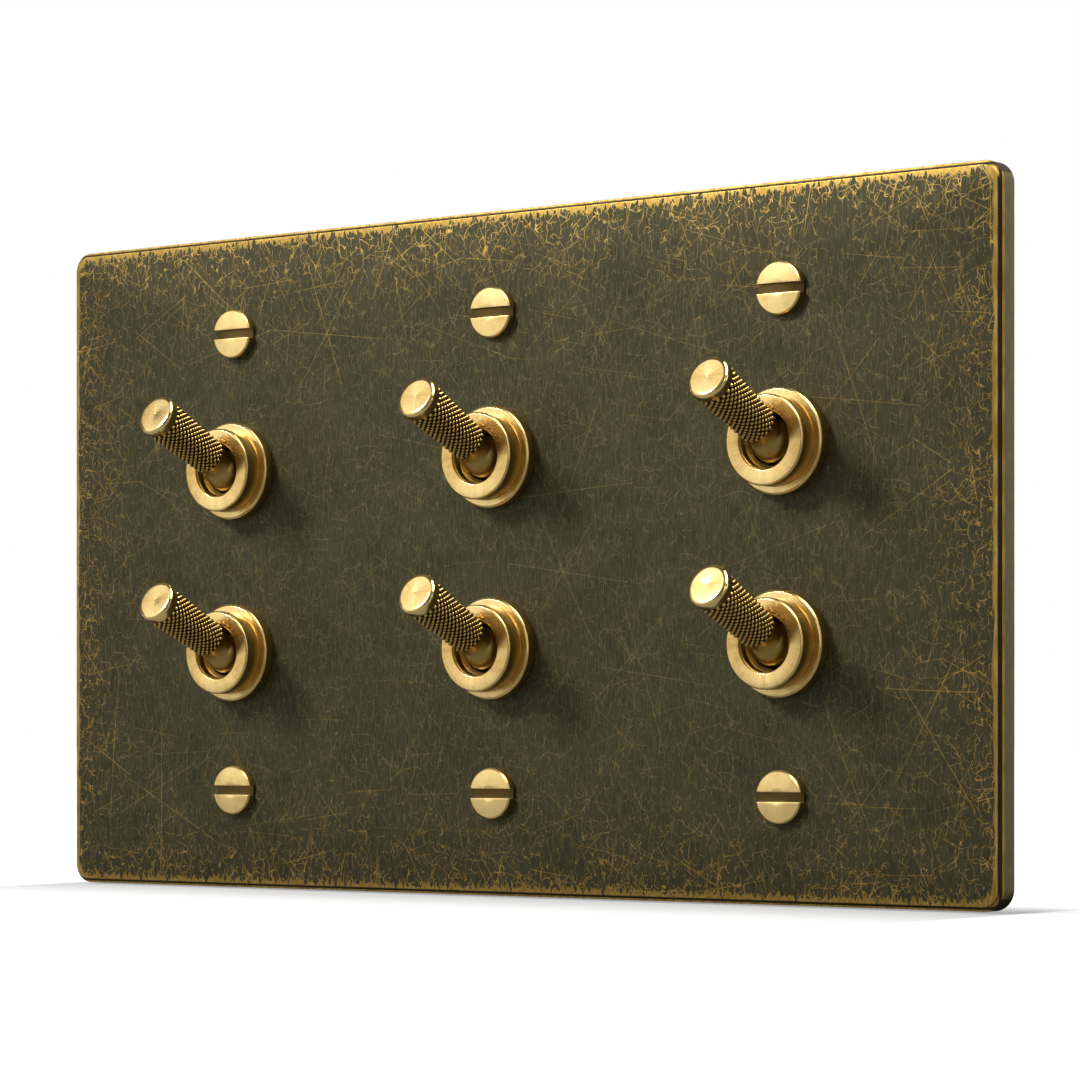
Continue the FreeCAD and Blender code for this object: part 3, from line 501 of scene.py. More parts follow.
def make_set_out():
    """A tree that sets out six copies of a piece, two to a column, and keeps where on it a point is."""
    inputs = {
        "Column pitch": "NodeSocketFloat",
        "Row pitch": "NodeSocketFloat",
        "Finish": "NodeSocketMaterial",
    }
    tree, master = shape_tree("set_out", inputs)
    marked = master.node(
        "GeometryNodeStoreNamedAttribute",
        {"data_type": "FLOAT_VECTOR"},
        {"Geometry": master, "Name": "turned_at", "Value": master.node("GeometryNodeInputPosition")},
    )
    grid = master.node(
        "GeometryNodeMeshGrid",
        inputs={
            "Size X": master.also("Column pitch") * 2.0,
            "Size Y": master.also("Row pitch"),
            "Vertices X": 3,
            "Vertices Y": 2,
        },
    )
    upright = grid.node(
        "GeometryNodeTransform", inputs={"Geometry": grid, "Rotation": (math.pi / 2, 0.0, 0.0)}
    )
    copies = upright.node("GeometryNodeInstanceOnPoints", inputs={"Points": upright, "Instance": marked})
    whole = copies.node("GeometryNodeRealizeInstances", inputs={"Geometry": copies})
    dressed = whole.node(
        "GeometryNodeSetMaterial", inputs={"Geometry": whole, "Material": master.also("Finish")}
    )
    dressed.node("NodeGroupOutput", inputs={"Geometry": dressed})
    return tree


def turning_marks(start, lean, faced, sided):
    """The surface's normal, rocked along the piece's outline by the fine rings that the tool left.

    The rings are rougher where the piece is faced than where it is turned along its side.
    """
    where = start.node("ShaderNodeAttribute", {"attribute_name": "turned_at"}, output="Vector")
    where = where.node("ShaderNodeVectorMath", {"operation": "SCALE"}, {0: where, "Scale": 1 / MM})
    across, along, up = split(where)
    radius = start.math("SQRT", across * across + up * up)
    ring = start.math("FLOOR", (radius + along * 1.31) * RINGS_PER_MM)
    chance = start.node("ShaderNodeTexWhiteNoise", {"noise_dimensions": "1D"}, {"W": ring})
    circling = join(up, 0.0, across * -1.0)
    axis = start.node("ShaderNodeCombineXYZ", inputs={"Y": 1.0})
    turned = []
    for vector in (circling, axis):
        leaning = {"Vector": vector.vector("NORMALIZE", vector), "Angle": lean}
        rotated = vector.node("ShaderNodeVectorRotate", {"rotation_type": "X_AXIS"}, leaning)
        settings = {"vector_type": "VECTOR", "convert_from": "OBJECT", "convert_to": "WORLD"}
        turned.append(rotated.node("ShaderNodeVectorTransform", settings, {"Vector": rotated}))
    normal = start.node("ShaderNodeNewGeometry", output="Normal")
    outline = normal.vector("CROSS_PRODUCT", normal, turned[0])
    facing = abs(normal.vector("DOT_PRODUCT", normal, turned[1]).also("Value")).rise(0.3, 0.9)
    rock = (chance - 0.5) * (facing * (faced - sided) + sided)
    rocking = {0: outline, 1: join(rock, rock, rock), 2: normal}
    rocked = start.node("ShaderNodeVectorMath", {"operation": "MULTIPLY_ADD"}, rocking)
    return rocked.vector("NORMALIZE", rocked), facing, radius, where


def painted_sheen(across, up):
    """Painted sheen: an hourglass of light and dark sectors painted on a faced disc, broken by fine streaks
    from its middle.
    """
    angle = across.math("ARCTAN2", up, across)
    spread = {"W": angle, "Scale": 3.0, "Detail": 4.0}
    streaks = across.node("ShaderNodeTexNoise", {"noise_dimensions": "1D"}, spread)
    return (across.math("COSINE", angle * 2.0) * 0.5 + 0.5) * 0.7 + (streaks - 0.5) * 1.2 + 0.1


def make_turned_brass(name, light, deep, faced, sided, roughness, painted_light=0.0, slot_front=None):
    """Turned brass with fine tool rings and a little toning where it is handled, painted sheen on its faces
    and painted shade on its sides where asked, and painted shade in a slot.
    """
    material, start = new_finish(name)
    normal, facing, _, where = turning_marks(start, 0.0, faced, sided)
    across, along, up = split(where)
    place = in_millimetres(start)
    toning = cloud(place, 0.5, 3.0)
    # Painted sheen: the faces lean to the deep colour in sectors, over the real toning.
    colour = (toning.rise(0.45, 0.75) * 0.4 + painted_sheen(across, up) * facing * painted_light).between(light, deep)
    # Painted shade: the turned sides take a darker brass than the faces.
    if painted_light:
        colour = facing.between(SIDE_SHADE_BRASS, colour)
    # Painted shade: the floor of the slot is darker.
    if slot_front is not None:
        half_slot = SLOT_WIDE / 2 / MM
        across_slot = abs(up).rise(half_slot + 0.04, half_slot - 0.02)
        in_slot = along.rise(slot_front + 0.15, slot_front + 0.5) * across_slot
        colour = in_slot.between(colour, SHADE_BRASS_DEEP)
    surface(
        start,
        {
            "Base Color": colour,
            "Metallic": 1.0,
            "Roughness": roughness + toning * 0.06 + (1.0 - facing) * 0.1,
            "Normal": normal,
        },
    )
    return material


def slotted(screw, size, deep, ease_wide):
    """Saw the slot of a screw's head and ease its edges; the block that stands for the saw comes back."""
    saw = bmesh.new()
    bmesh.ops.create_cube(saw, size=1.0)
    bmesh.ops.scale(saw, vec=size, verts=saw.verts)
    bmesh.ops.translate(saw, vec=(0.0, deep, 0.0), verts=saw.verts)
    mesh = bpy.data.meshes.new("slot_saw")
    saw.to_mesh(mesh)
    saw.free()
    cutter = new_piece("slot_saw", mesh)
    cut = screw.modifiers.new("slot", "BOOLEAN")
    cut.object = cutter
    cut.solver = "EXACT"
    ease = screw.modifiers.new("ease", "BEVEL")
    ease.width = ease_wide
    ease.segments = 2
    ease.limit_method = "ANGLE"
    ease.angle_limit = math.radians(50)
    return cutter


def make_plate_screw():
    """The head with its slot sawn across, on a shank that is plain under the head."""
    chamfer, dome = 0.2 * MM, 0.12 * MM
    neck, thread, thread_start, point = 1.5 * MM, 1.75 * MM, 0.5 * MM, 0.5 * MM
    flat = HEAD_RADIUS - chamfer
    head = [(HEAD_FRONT + dome * share**2, flat * share) for share in (0.0, 0.2, 0.4, 0.6, 0.8)]
    profile = [
        (HEAD_FRONT + dome, flat),
        (HEAD_FRONT + dome + chamfer, HEAD_RADIUS),
        (PLATE_FACE, HEAD_RADIUS),
        (PLATE_FACE, neck),
        (thread_start, neck),
        (thread_start, thread),
        (SCREW_END - point, thread),
        (SCREW_END, thread - point),
        (SCREW_END, 0.0),
    ]
    profile = head + eased(profile, 0.05 * MM)
    screw = new_piece("plate_screw_blank", turned_mesh("plate_screw_blank", profile))
    size = (HEAD_RADIUS * 3, 2 * SLOT_DEEP, SLOT_WIDE)
    return screw, slotted(screw, size, HEAD_FRONT + dome, 0.04 * MM)


set_out = make_set_out()
screw_brass = make_turned_brass(
    "screw_brass",
    BRIGHT,
    BRIGHT_DEEP,
    faced=0.08,
    sided=0.08,
    roughness=0.28,
    painted_light=0.3,
    slot_front=HEAD_FRONT / MM,
)
plate_screws, screw_saw = make_plate_screw()
plate_screws.name = "plate_screws_turned"
screw_values = {"Column pitch": COLUMN_PITCH, "Row pitch": SCREW_PITCH, "Finish": screw_brass}
baked(shaped(plate_screws, set_out, screw_values), screw_brass)
bpy.data.objects.remove(screw_saw)
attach(plate_screws, "fixed")
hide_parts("plate_screws")

# Bushes: a threaded brass bush for each switch, turned from bar. Its flange lies behind the yoke, its
# thread comes through the plate, and its seat carries the dolly's ball.

BUSH_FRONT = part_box("bush_top_left")[0].y
BUSH_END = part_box("bush_top_left")[1].y
BUSH_RADIUS = 4.75 * MM
BUSH_BORE = 3.0 * MM
BUSH_SEAT = 0.6 * MM
BUSH_FLANGE = 6.75 * MM
BUSH_FLANGE_THICK = 1.2 * MM
BUSH_STRAIGHT = 2.0 * MM
BUSH_TAIL = 4.7 * MM
BALL_HIGH = 2.0 * MM
BALL_CENTRE = PLATE_FACE - BALL_HIGH

# Painted shade: the bushes take a shaded brass for the shade inside the collars' mouths, toned at random
# between its two colours.
turned_brass = make_turned_brass(
    "turned_brass", SHADE_BRASS, SHADE_BRASS_DEEP, faced=0.3, sided=0.1, roughness=0.32
)
bush_profile = [
    (BUSH_FRONT, BUSH_BORE + BUSH_SEAT),
    (BUSH_FRONT, BUSH_RADIUS),
    (BUSH_END - BUSH_FLANGE_THICK, BUSH_RADIUS),
    (BUSH_END - BUSH_FLANGE_THICK, BUSH_FLANGE),
    (BUSH_END, BUSH_FLANGE),
    (BUSH_END, BUSH_TAIL),
    (BALL_CENTRE + BUSH_STRAIGHT, BUSH_BORE),
    (BUSH_FRONT + BUSH_SEAT, BUSH_BORE),
]
bushes = new_piece("bushes_turned", turned_mesh("bush", eased(bush_profile, 0.06 * MM, closed=True)))
switch_values = {"Column pitch": COLUMN_PITCH, "Row pitch": ROW_PITCH, "Finish": turned_brass}
baked(shaped(bushes, set_out, switch_values), turned_brass)
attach(bushes, "fixed")
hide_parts(*[f"bush_{spot}" for spot in SPOTS])

# Collars: the bright ring nuts that screw on to the bushes and clamp the switches to the plate. Each is
# turned in two tiers with a fine groove between them, and has a chamfered mouth for the dolly.

COLLAR_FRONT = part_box("collar_top_left")[0].y
COLLAR_BASE = 6.4 * MM
COLLAR_TIER = 5.45 * MM
COLLAR_MOUTH = 3.4 * MM
COLLAR_BORE = 4.8 * MM
COLLAR_LIP = 1.2 * MM
TIER_STEP = PLATE_FACE - 1.55 * MM
FOOT_EASE = 0.1 * MM
BASE_CHAMFER = 0.25 * MM
TIER_CHAMFER = 0.2 * MM
MOUTH_CHAMFER = 0.22 * MM
UNDERCUT = 0.14 * MM
UNDERCUT_WIDE = 0.16 * MM
UNDERCUT_SLOPE = 0.07 * MM
collar_profile = [
    (PLATE_FACE, COLLAR_BORE),
    (PLATE_FACE, COLLAR_BASE - 0.8 * FOOT_EASE),
    (PLATE_FACE - FOOT_EASE, COLLAR_BASE),
    (TIER_STEP + BASE_CHAMFER, COLLAR_BASE),
    (TIER_STEP, COLLAR_BASE - BASE_CHAMFER),
    (TIER_STEP, COLLAR_TIER - UNDERCUT),
    (TIER_STEP - UNDERCUT_WIDE, COLLAR_TIER - UNDERCUT),
    (TIER_STEP - UNDERCUT_WIDE - UNDERCUT_SLOPE, COLLAR_TIER),
    (COLLAR_FRONT + TIER_CHAMFER, COLLAR_TIER),
    (COLLAR_FRONT, COLLAR_TIER - TIER_CHAMFER),
    (COLLAR_FRONT, COLLAR_MOUTH + MOUTH_CHAMFER),
    (COLLAR_FRONT + MOUTH_CHAMFER, COLLAR_MOUTH),
    (COLLAR_FRONT + COLLAR_LIP, COLLAR_MOUTH),
    (COLLAR_FRONT + COLLAR_LIP, COLLAR_BORE),
]
polished = make_turned_brass(
    "bright_brass", BRIGHT, BRIGHT_DEEP, faced=0.08, sided=0.05, roughness=0.22, painted_light=1.0
)
collar_profile = eased(collar_profile, 0.05 * MM, closed=True)
collars = new_piece("collars_turned", turned_mesh("collar", collar_profile, 128))
baked(shaped(collars, set_out, {**switch_values, "Finish": polished}), polished)
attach(collars, "fixed")
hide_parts(*[f"collar_{spot}" for spot in SPOTS])

# Dollies: the levers, each turned from one brass bar, with a ball that sits in the bush and a grip that
# is rolled with a diamond knurl between a smooth band at the tip and a short neck. A pin through the
# ball is its pivot, and its hollow tail holds the plunger.

TILT = math.radians(25.5)
DOLLY_LONG = 15.3 * MM
BALL_RADIUS = 2.7 * MM
TIP_RADIUS = 2.2 * MM
TIP_CHAMFER = 0.42 * MM
CENTRE_MARK = 0.1 * MM
BAND_RADIUS = 2.7 * MM
BAND_END = 13.93 * MM
BAND_STEP = 0.2 * MM
GRIP_FRONT = 13.73 * MM
GRIP_START = 3.9 * MM
GRIP_RADIUS = 2.73 * MM
GRIP_ROOT = 2.45 * MM
KNURL_HIGH = 0.27 * MM
KNURL_SUNK = 0.03 * MM
KNURL_BULGE = 2.4
KNURL_SAG = 0.33
KNURL_ROUND = 20
KNURL_ROWS = 24
KNURL_SPACING = (GRIP_FRONT - GRIP_START) / KNURL_ROWS
SHOULDER_LONG = 0.5 * MM
NECK_RADIUS = 2.05 * MM
TAIL_RADIUS = 1.5 * MM
TAIL_END = 8.2 * MM
TAIL_BORE = 0.95 * MM
BORE_END = 1.9 * MM
# Painted shade: a deeper brass for the knurled grip, which is turned from the same bar as the rest.
KNURL_SHADE_BRASS = (0.72, 0.48, 0.145)
GROOVE_DIRT_AND_SHADE = (0.035, 0.018, 0.005)


def ball_arc(from_radius, to_radius, steps):
    """Points of the ball's outline from one radius in front of its middle to another behind it."""
    start, end = math.pi - math.asin(from_radius / BALL_RADIUS), math.asin(to_radius / BALL_RADIUS)
    angles = [start + (end - start) * step / steps for step in range(steps + 1)]
    return [(BALL_RADIUS * math.cos(a), BALL_RADIUS * math.sin(a)) for a in angles]


def make_dolly_mesh():
    """The bar as it comes from the lathe, with a fine centre mark in its tip and a rounded edge round it."""
    tip, edge = -DOLLY_LONG, BAND_RADIUS - TIP_RADIUS
    profile = [
        (tip + CENTRE_MARK * 0.3, 0.0),
        (tip + CENTRE_MARK * 0.2, CENTRE_MARK * 0.6),
        (tip, CENTRE_MARK),
        (tip, TIP_RADIUS),
        (tip + TIP_CHAMFER * 0.13, TIP_RADIUS + edge * 0.5),
        (tip + TIP_CHAMFER * 0.5, TIP_RADIUS + edge * 0.87),
        (tip + TIP_CHAMFER, BAND_RADIUS),
        (-BAND_END, BAND_RADIUS),
        (-BAND_END, BAND_RADIUS - BAND_STEP),
        (-GRIP_FRONT, BAND_RADIUS - BAND_STEP),
        (-GRIP_FRONT, GRIP_RADIUS - KNURL_HIGH + KNURL_SUNK),
        (-GRIP_START, GRIP_ROOT - KNURL_HIGH + KNURL_SUNK),
        (-GRIP_START + SHOULDER_LONG, NECK_RADIUS),
    ]
    profile = eased(profile, 0.05 * MM)
    profile += ball_arc(NECK_RADIUS * 0.97, TAIL_RADIUS, 20)
    profile += [
        (TAIL_END, TAIL_RADIUS),
        (TAIL_END, TAIL_BORE),
        (BORE_END, TAIL_BORE),
        (BORE_END, 0.0),
    ]
    return turned_mesh("dolly", profile)


def make_knurling():
    """A tree that rolls rows of small diamonds round the grip, each row half a diamond on from the last."""
    inputs = {
        "Round": "NodeSocketInt",
        "Rows": "NodeSocketInt",
        "Spacing": "NodeSocketFloat",
        "Start": "NodeSocketFloat",
        "Root radius": "NodeSocketFloat",
        "Tip radius": "NodeSocketFloat",
        "Height": "NodeSocketFloat",
        "Tilt": "NodeSocketFloat",
        "Place": "NodeSocketVector",
        "Finish": "NodeSocketMaterial",
    }
    tree, body = shape_tree("knurling", inputs)
    index = body.node("GeometryNodeInputIndex")
    count = body.also("Round")
    row = body.math("FLOOR", (index + 0.01) / count)
    shift = body.math("MODULO", row, 2.0) * 0.5
    angle = (index - row * count + shift) * math.tau / count
    share = (row + 0.5) / body.also("Rows")
    root = body.also("Root radius")
    radius = root + (body.also("Tip radius") - root) * share - body.also("Height")
    along = (body.also("Start") + (row + 0.5) * body.also("Spacing")) * -1.0
    place = join(body.math("SINE", angle) * radius, along, body.math("COSINE", angle) * radius)
    points = body.node("GeometryNodePoints", inputs={"Count": count * body.also("Rows"), "Position": place})
    blank = body.node(
        "GeometryNodeMeshGrid", inputs={"Size X": 1.0, "Size Y": 1.0, "Vertices X": 8, "Vertices Y": 8}
    )
    side, end, _ = split(body.node("GeometryNodeInputPosition"))
    swell = 1.0 - body.math("POWER", abs(side) * 2.0, KNURL_BULGE)
    swell = swell * (1.0 - body.math("POWER", abs(end) * 2.0, KNURL_BULGE))
    sag = (side + end) * (side + end) * KNURL_SAG
    pillow = blank.node(
        "GeometryNodeSetPosition", inputs={"Geometry": blank, "Offset": join(0.0, 0.0, swell - sag)}
    )
    diamond = pillow.node(
        "GeometryNodeTransform",
        inputs={
            "Geometry": pillow,
            "Rotation": (0.0, 0.0, math.pi / 4),
            "Scale": (math.sqrt(2.0), math.sqrt(2.0), 1.0),
        },
    )
    half_wide = (radius + body.also("Height") * 0.6) * math.pi / count
    size = join(half_wide, body.also("Spacing"), body.also("Height"))
    rolled = points.node(
        "GeometryNodeInstanceOnPoints",
        inputs={"Points": points, "Instance": diamond, "Rotation": join(0.0, angle, 0.0), "Scale": size},
    )
    both = body.node("GeometryNodeJoinGeometry")
    join_node = both.socket.node
    tree.links.new(rolled.socket, join_node.inputs[0])
    tree.links.new(body.socket, join_node.inputs[0])
    whole = both.node("GeometryNodeRealizeInstances", inputs={"Geometry": both})
    marked = whole.node(
        "GeometryNodeStoreNamedAttribute",
        {"data_type": "FLOAT_VECTOR"},
        {"Geometry": whole, "Name": "turned_at", "Value": whole.node("GeometryNodeInputPosition")},
    )
    set_down = marked.node(
        "GeometryNodeTransform",
        inputs={
            "Geometry": marked,
            "Translation": body.also("Place"),
            "Rotation": join(body.also("Tilt"), 0.0, 0.0),
        },
    )
    dressed = set_down.node(
        "GeometryNodeSetMaterial", inputs={"Geometry": set_down, "Material": body.also("Finish")}
    )
    dressed.node("NodeGroupOutput", inputs={"Geometry": dressed})
    return tree


def make_dolly_brass():
    """Bright brass, a little toned, with painted sheen on its tip, painted shade on its grip, neck and ball,
    and dirt and painted shade in the bottoms of the knurl's grooves.
    """
    material, start = new_finish("dolly_brass")
    normal, facing, radius, where = turning_marks(start, -TILT, 0.05, 0.03)
    across, along, up = split(where)
    reach = along * -1.0
    first, last, tip = GRIP_START / MM, GRIP_FRONT / MM, DOLLY_LONG / MM
    in_grip = reach.rise(first - 0.25, first - 0.05) * reach.rise(last + 0.02, last - 0.05)
    taper = (GRIP_RADIUS - GRIP_ROOT) / (GRIP_FRONT - GRIP_START)
    crest = GRIP_ROOT / MM + (reach - first) * taper
    # Dirt and painted shade: darker towards the bottom of the knurl's grooves.
    low = (crest - radius).rise(0.05, 0.18) * in_grip
    place = in_millimetres(start)
    toning = cloud(place, 0.6, 3.0)
    on_tip = reach.rise(tip - 0.1, tip - 0.05) * facing
    # Painted sheen on the tip's face, over the real toning.
    base = (toning.rise(0.45, 0.75) * 0.2 + painted_sheen(across, up) * on_tip * 0.8).between(BRIGHT, BRIGHT_DEEP)
    # Painted shade: behind the grip, the neck and ball take a shaded brass for the shade in the collar's
    # mouth.
    below = reach.rise(first + 0.1, first - 0.3)
    # Painted shade: the grip takes a deeper brass.
    base = below.between(in_grip.between(base, KNURL_SHADE_BRASS), SHADE_BRASS)
    surface(
        start,
        {
            "Base Color": low.between(base, GROOVE_DIRT_AND_SHADE),
            "Metallic": 1.0,
            "Roughness": 0.15 + low * 0.3 + below * 0.2 - on_tip * 0.03,
            "Normal": normal,
        },
    )
    return material


knurling = make_knurling()
dolly_brass = make_dolly_brass()
for spot in SPOTS:
    row, column = spot.split("_")
    centre = (COLUMNS[column] * COLUMN_PITCH, BALL_CENTRE, ROWS[row] * ROW_PITCH / 2)
    dolly = new_piece(f"dolly_{spot}_knurled", make_dolly_mesh())
    knurl_values = {
        "Round": KNURL_ROUND,
        "Rows": KNURL_ROWS,
        "Spacing": KNURL_SPACING,
        "Start": GRIP_START,
        "Root radius": GRIP_ROOT,
        "Tip radius": GRIP_RADIUS,
        "Height": KNURL_HIGH,
        "Tilt": -TILT,
        "Place": centre,
        "Finish": dolly_brass,
    }
    baked(shaped(dolly, knurling, knurl_values), dolly_brass, 62.0)
    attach(dolly, f"lever_{spot}")
    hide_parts(f"dolly_{spot}")

# Pivot pins: ground steel pins across the bushes. Each goes through the ball of its dolly, and the collar
# screwed on round it keeps it in its hole.

GROUND_STEEL = (0.56, 0.57, 0.58)
OILED_STEEL = (0.27, 0.26, 0.25)


def dress(nodes, material):
    """Give the frame's own nodes a finish."""
    for node in nodes:
        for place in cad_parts[node].material_slots:
            place.material = material


def make_ground_steel():
    """Steel with fine grinding marks and a film of old oil."""
    material, start = new_finish("ground_steel")
    place = in_millimetres(start)
    ground = cloud(place, 3.0, 2.0, (6.0, 0.5, 0.5))
    oil = cloud(place, 0.8, 3.0)
    height = start.node("ShaderNodeBump", inputs={"Strength": 0.15, "Distance": 0.01 * MM, "Height": ground})
    surface(
        start,
        {
            "Base Color": (oil.rise(0.4, 0.7) * 0.6 + ground * 0.2).between(GROUND_STEEL, OILED_STEEL),
            "Metallic": 1.0,
            "Roughness": 0.22 + oil * 0.2,
            "Normal": height,
        },
    )
    return material


ground_steel = make_ground_steel()
dress(["pivot_pins"], ground_steel)

# Plungers and springs: a round-nosed steel plunger slides in the hollow tail of each dolly, and a coil
# spring of drawn steel wire behind it presses its nose on the rocker.

SPRING_STEEL = (0.40, 0.40, 0.42)
BLUED_STEEL = (0.16, 0.15, 0.17)


def make_spring_steel():
    """Drawn wire, a little blued by its tempering."""
    material, start = new_finish("spring_steel")
    place = in_millimetres(start)
    tempered = cloud(place, 1.4, 2.0)
    surface(
        start,
        {
            "Base Color": tempered.rise(0.35, 0.65).between(SPRING_STEEL, BLUED_STEEL),
            "Metallic": 1.0,
            "Roughness": 0.3 + tempered * 0.15,
        },
    )
    return material


spring_steel = make_spring_steel()
dress([f"plunger_{spot}" for spot in SPOTS], ground_steel)
dress([f"spring_{spot}" for spot in SPOTS], spring_steel)

# Rockers and terminals: see-saw contacts of hard brass, the saddles that carry them, and the strips and
# clamp blocks for the wires. All are pressed or sawn from strip and left plain.

STRIP_BRASS = (0.70, 0.50, 0.22)
STRIP_TONED = (0.42, 0.27, 0.11)


def make_contact_brass():
    """Plain strip brass with rolling marks along it and brown toning in patches."""
    material, start = new_finish("contact_brass")
    place = in_millimetres(start)
    rolled = cloud(place, 2.0, 2.0, (4.0, 4.0, 0.3))
    toned = cloud(place, 0.35, 3.0)
    height = start.node("ShaderNodeBump", inputs={"Strength": 0.2, "Distance": 0.01 * MM, "Height": rolled})
    surface(
        start,
        {
            "Base Color": (toned.rise(0.4, 0.7) * 0.8 + rolled * 0.15).between(STRIP_BRASS, STRIP_TONED),
            "Metallic": 1.0,
            "Roughness": 0.28 + toned * 0.2,
            "Normal": height,
        },
    )
    return material


contact_brass = make_contact_brass()
dress([f"rocker_{spot}" for spot in SPOTS], contact_brass)
dress([f"terminals_{spot}" for spot in SPOTS], contact_brass)

# Terminal screws: three slotted clamp screws in the back of each switch, turned in on to the wires. They
# are of steel, plated with yellow zinc.

CLAMP_ACROSS = 9.2 * MM
CLAMP_UP = 5.0 * MM
CLAMP_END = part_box("terminal_screws")[1].y
CLAMP_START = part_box("terminal_screws")[0].y
CLAMP_RADIUS = 1.45 * MM
CLAMP_HEAD = 2.1 * MM
CLAMP_HEAD_HIGH = 1.4 * MM
CLAMP_SLOT_WIDE = 0.7 * MM
CLAMP_SLOT_DEEP = 0.8 * MM
YELLOW_ZINC = (0.62, 0.50, 0.22)
GREEN_ZINC = (0.42, 0.44, 0.26)


def make_yellow_zinc():
    """Yellow zinc plate, greener in clouds, dulled where a screwdriver has been."""
    material, start = new_finish("yellow_zinc")
    place = in_millimetres(start)
    clouds = cloud(place, 0.45, 2.0)
    worn = cloud(place, 1.8, 3.0)
    surface(
        start,
        {
            "Base Color": clouds.rise(0.35, 0.65).between(YELLOW_ZINC, GREEN_ZINC),
            "Metallic": 1.0,
            "Roughness": 0.26 + worn.rise(0.4, 0.7) * 0.2,
        },
    )
    return material


def make_clamp_screw():
    profile = [
        (CLAMP_START, 0.0),
        (CLAMP_START, CLAMP_RADIUS),
        (CLAMP_END - CLAMP_HEAD_HIGH, CLAMP_RADIUS),
        (CLAMP_END - CLAMP_HEAD_HIGH, CLAMP_HEAD),
        (CLAMP_END, CLAMP_HEAD),
        (CLAMP_END, 0.0),
    ]
    screw = new_piece("clamp_screw_blank", turned_mesh("clamp_screw_blank", eased(profile, 0.2 * MM), 48))
    size = (CLAMP_SLOT_WIDE, 2 * CLAMP_SLOT_DEEP, CLAMP_HEAD * 3)
    return screw, slotted(screw, size, CLAMP_END, 0.05 * MM)


def make_clamp_places():
    """A tree that sets three screws round the middle of a switch: one on the left and two on the right."""
    tree, master = shape_tree("clamp_places", {"Across": "NodeSocketFloat", "Up": "NodeSocketFloat"})
    across, up = master.also("Across"), master.also("Up")
    whole = master.node("GeometryNodeJoinGeometry")
    for place in (join(across * -1.0, 0.0, 0.0), join(across, 0.0, up), join(across, 0.0, up * -1.0)):
        moved = master.node("GeometryNodeTransform", inputs={"Geometry": master, "Translation": place})
        tree.links.new(moved.socket, whole.socket.node.inputs[0])
    whole.node("NodeGroupOutput", inputs={"Geometry": whole})
    return tree


yellow_zinc = make_yellow_zinc()
clamp_screws, clamp_saw = make_clamp_screw()
clamp_screws.name = "terminal_screws_turned"
shaped(clamp_screws, make_clamp_places(), {"Across": CLAMP_ACROSS, "Up": CLAMP_UP})
baked(shaped(clamp_screws, set_out, {**switch_values, "Finish": yellow_zinc}), yellow_zinc)
bpy.data.objects.remove(clamp_saw)
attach(clamp_screws, "fixed")
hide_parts("terminal_screws")

# Housings: the black cases behind the plate, each pressed in one piece from phenolic resin, with pockets
# for the clamp blocks in its back and funnels in its sides for the wires.

RESIN_BLACK = (0.012, 0.010, 0.009)
RESIN_BROWN = (0.035, 0.022, 0.014)


def make_black_resin():
    """Phenolic resin with a faint brown marbling, and a skin that is duller where it left the mould."""
    material, start = new_finish("black_resin")
    place = in_millimetres(start)
    flow = cloud(place, 0.12, 4.0, (1.0, 0.4, 1.0))
    skin = cloud(place, 0.8, 3.0)
    pores = cloud(place, 5.0, 2.0)
    height = start.node("ShaderNodeBump", inputs={"Strength": 0.3, "Distance": 0.02 * MM, "Height": pores})
    surface(
        start,
        {
            "Base Color": (flow.rise(0.5, 0.62) * skin.rise(0.3, 0.7)).between(RESIN_BLACK, RESIN_BROWN),
            "Roughness": 0.28 + skin.rise(0.35, 0.7) * 0.22,
            "Normal": height,
        },
    )
    return material


dress([f"housing_{spot}" for spot in SPOTS], make_black_resin())

# Yokes and bridge screws: a zinc-plated steel strap behind each column, pressed from sheet, which the two
# bushes of the column clamp to the plate. Small countersunk screws hold the housings to it.

ZINC = (0.55, 0.57, 0.60)
ZINC_DULL = (0.34, 0.35, 0.38)


def make_zinc_plate():
    """Bright zinc plate with a soft mottle, the sheet's rolling lines and a few rubs."""
    material, start = new_finish("zinc_plate")
    place = in_millimetres(start)
    across, _, up = split(place)
    rolling = cloud(place, 1.0, 2.0, (5.0, 5.0, 0.2))
    mottle = cloud(place, 0.5, 3.0)
    rubs = hairs(join(across, up, 0.0), pitch=6.0, strokes=2, bow=0.02, seed=7.0, wide=0.05)
    height = start.node("ShaderNodeBump", inputs={"Strength": 0.2, "Distance": 0.01 * MM, "Height": rolling})
    dulled = mottle.rise(0.35, 0.7) * 0.8 + rolling * 0.2 - rubs * 0.4
    surface(
        start,
        {
            "Base Color": dulled.between(ZINC, ZINC_DULL),
            "Metallic": 1.0,
            "Roughness": 0.32 + mottle * 0.2 - rubs * 0.1,
            "Normal": height,
        },
    )
    return material


dress([f"yoke_{column}" for column in COLUMNS], make_zinc_plate())
dress(["bridge_screws"], yellow_zinc)

# Setting: a pale floor that the plate's lower edge stands on, a small lamp high on the left for the
# shadows, a wide soft one beside it and a weak one on the right.

KEY_PLACE = (-0.42, -0.60, 0.52)
KEY_SIZE = (0.12, 0.16)
KEY_POWER = 5.0
SOFT_PLACE = (-0.58, -0.69, 0.36)
SOFT_SIZE = (0.62, 1.2)
SOFT_POWER = 2.05
FILL_PLACE = (0.6, -0.45, 0.2)
FILL_SIZE = (0.12, 0.5)
FILL_POWER = 0.4
FLOOR_HALF = 3.0
FLOOR_GAP = 0.2 * MM
FLOOR_GREY = (0.5, 0.5, 0.5)
FLOOR_PALE = (0.52, 0.52, 0.52)
WHITE = (1.0, 1.0, 1.0, 1.0)
CAMERA_PLACE = (0.28945, -0.37682, -0.02213)
CAMERA_TURN = math.radians(37.06)
FRAME_PIXELS = 1080
FOCAL_PIXELS = 3767.0
HORIZON_PIXEL = 729.5
SENSOR = 36.0


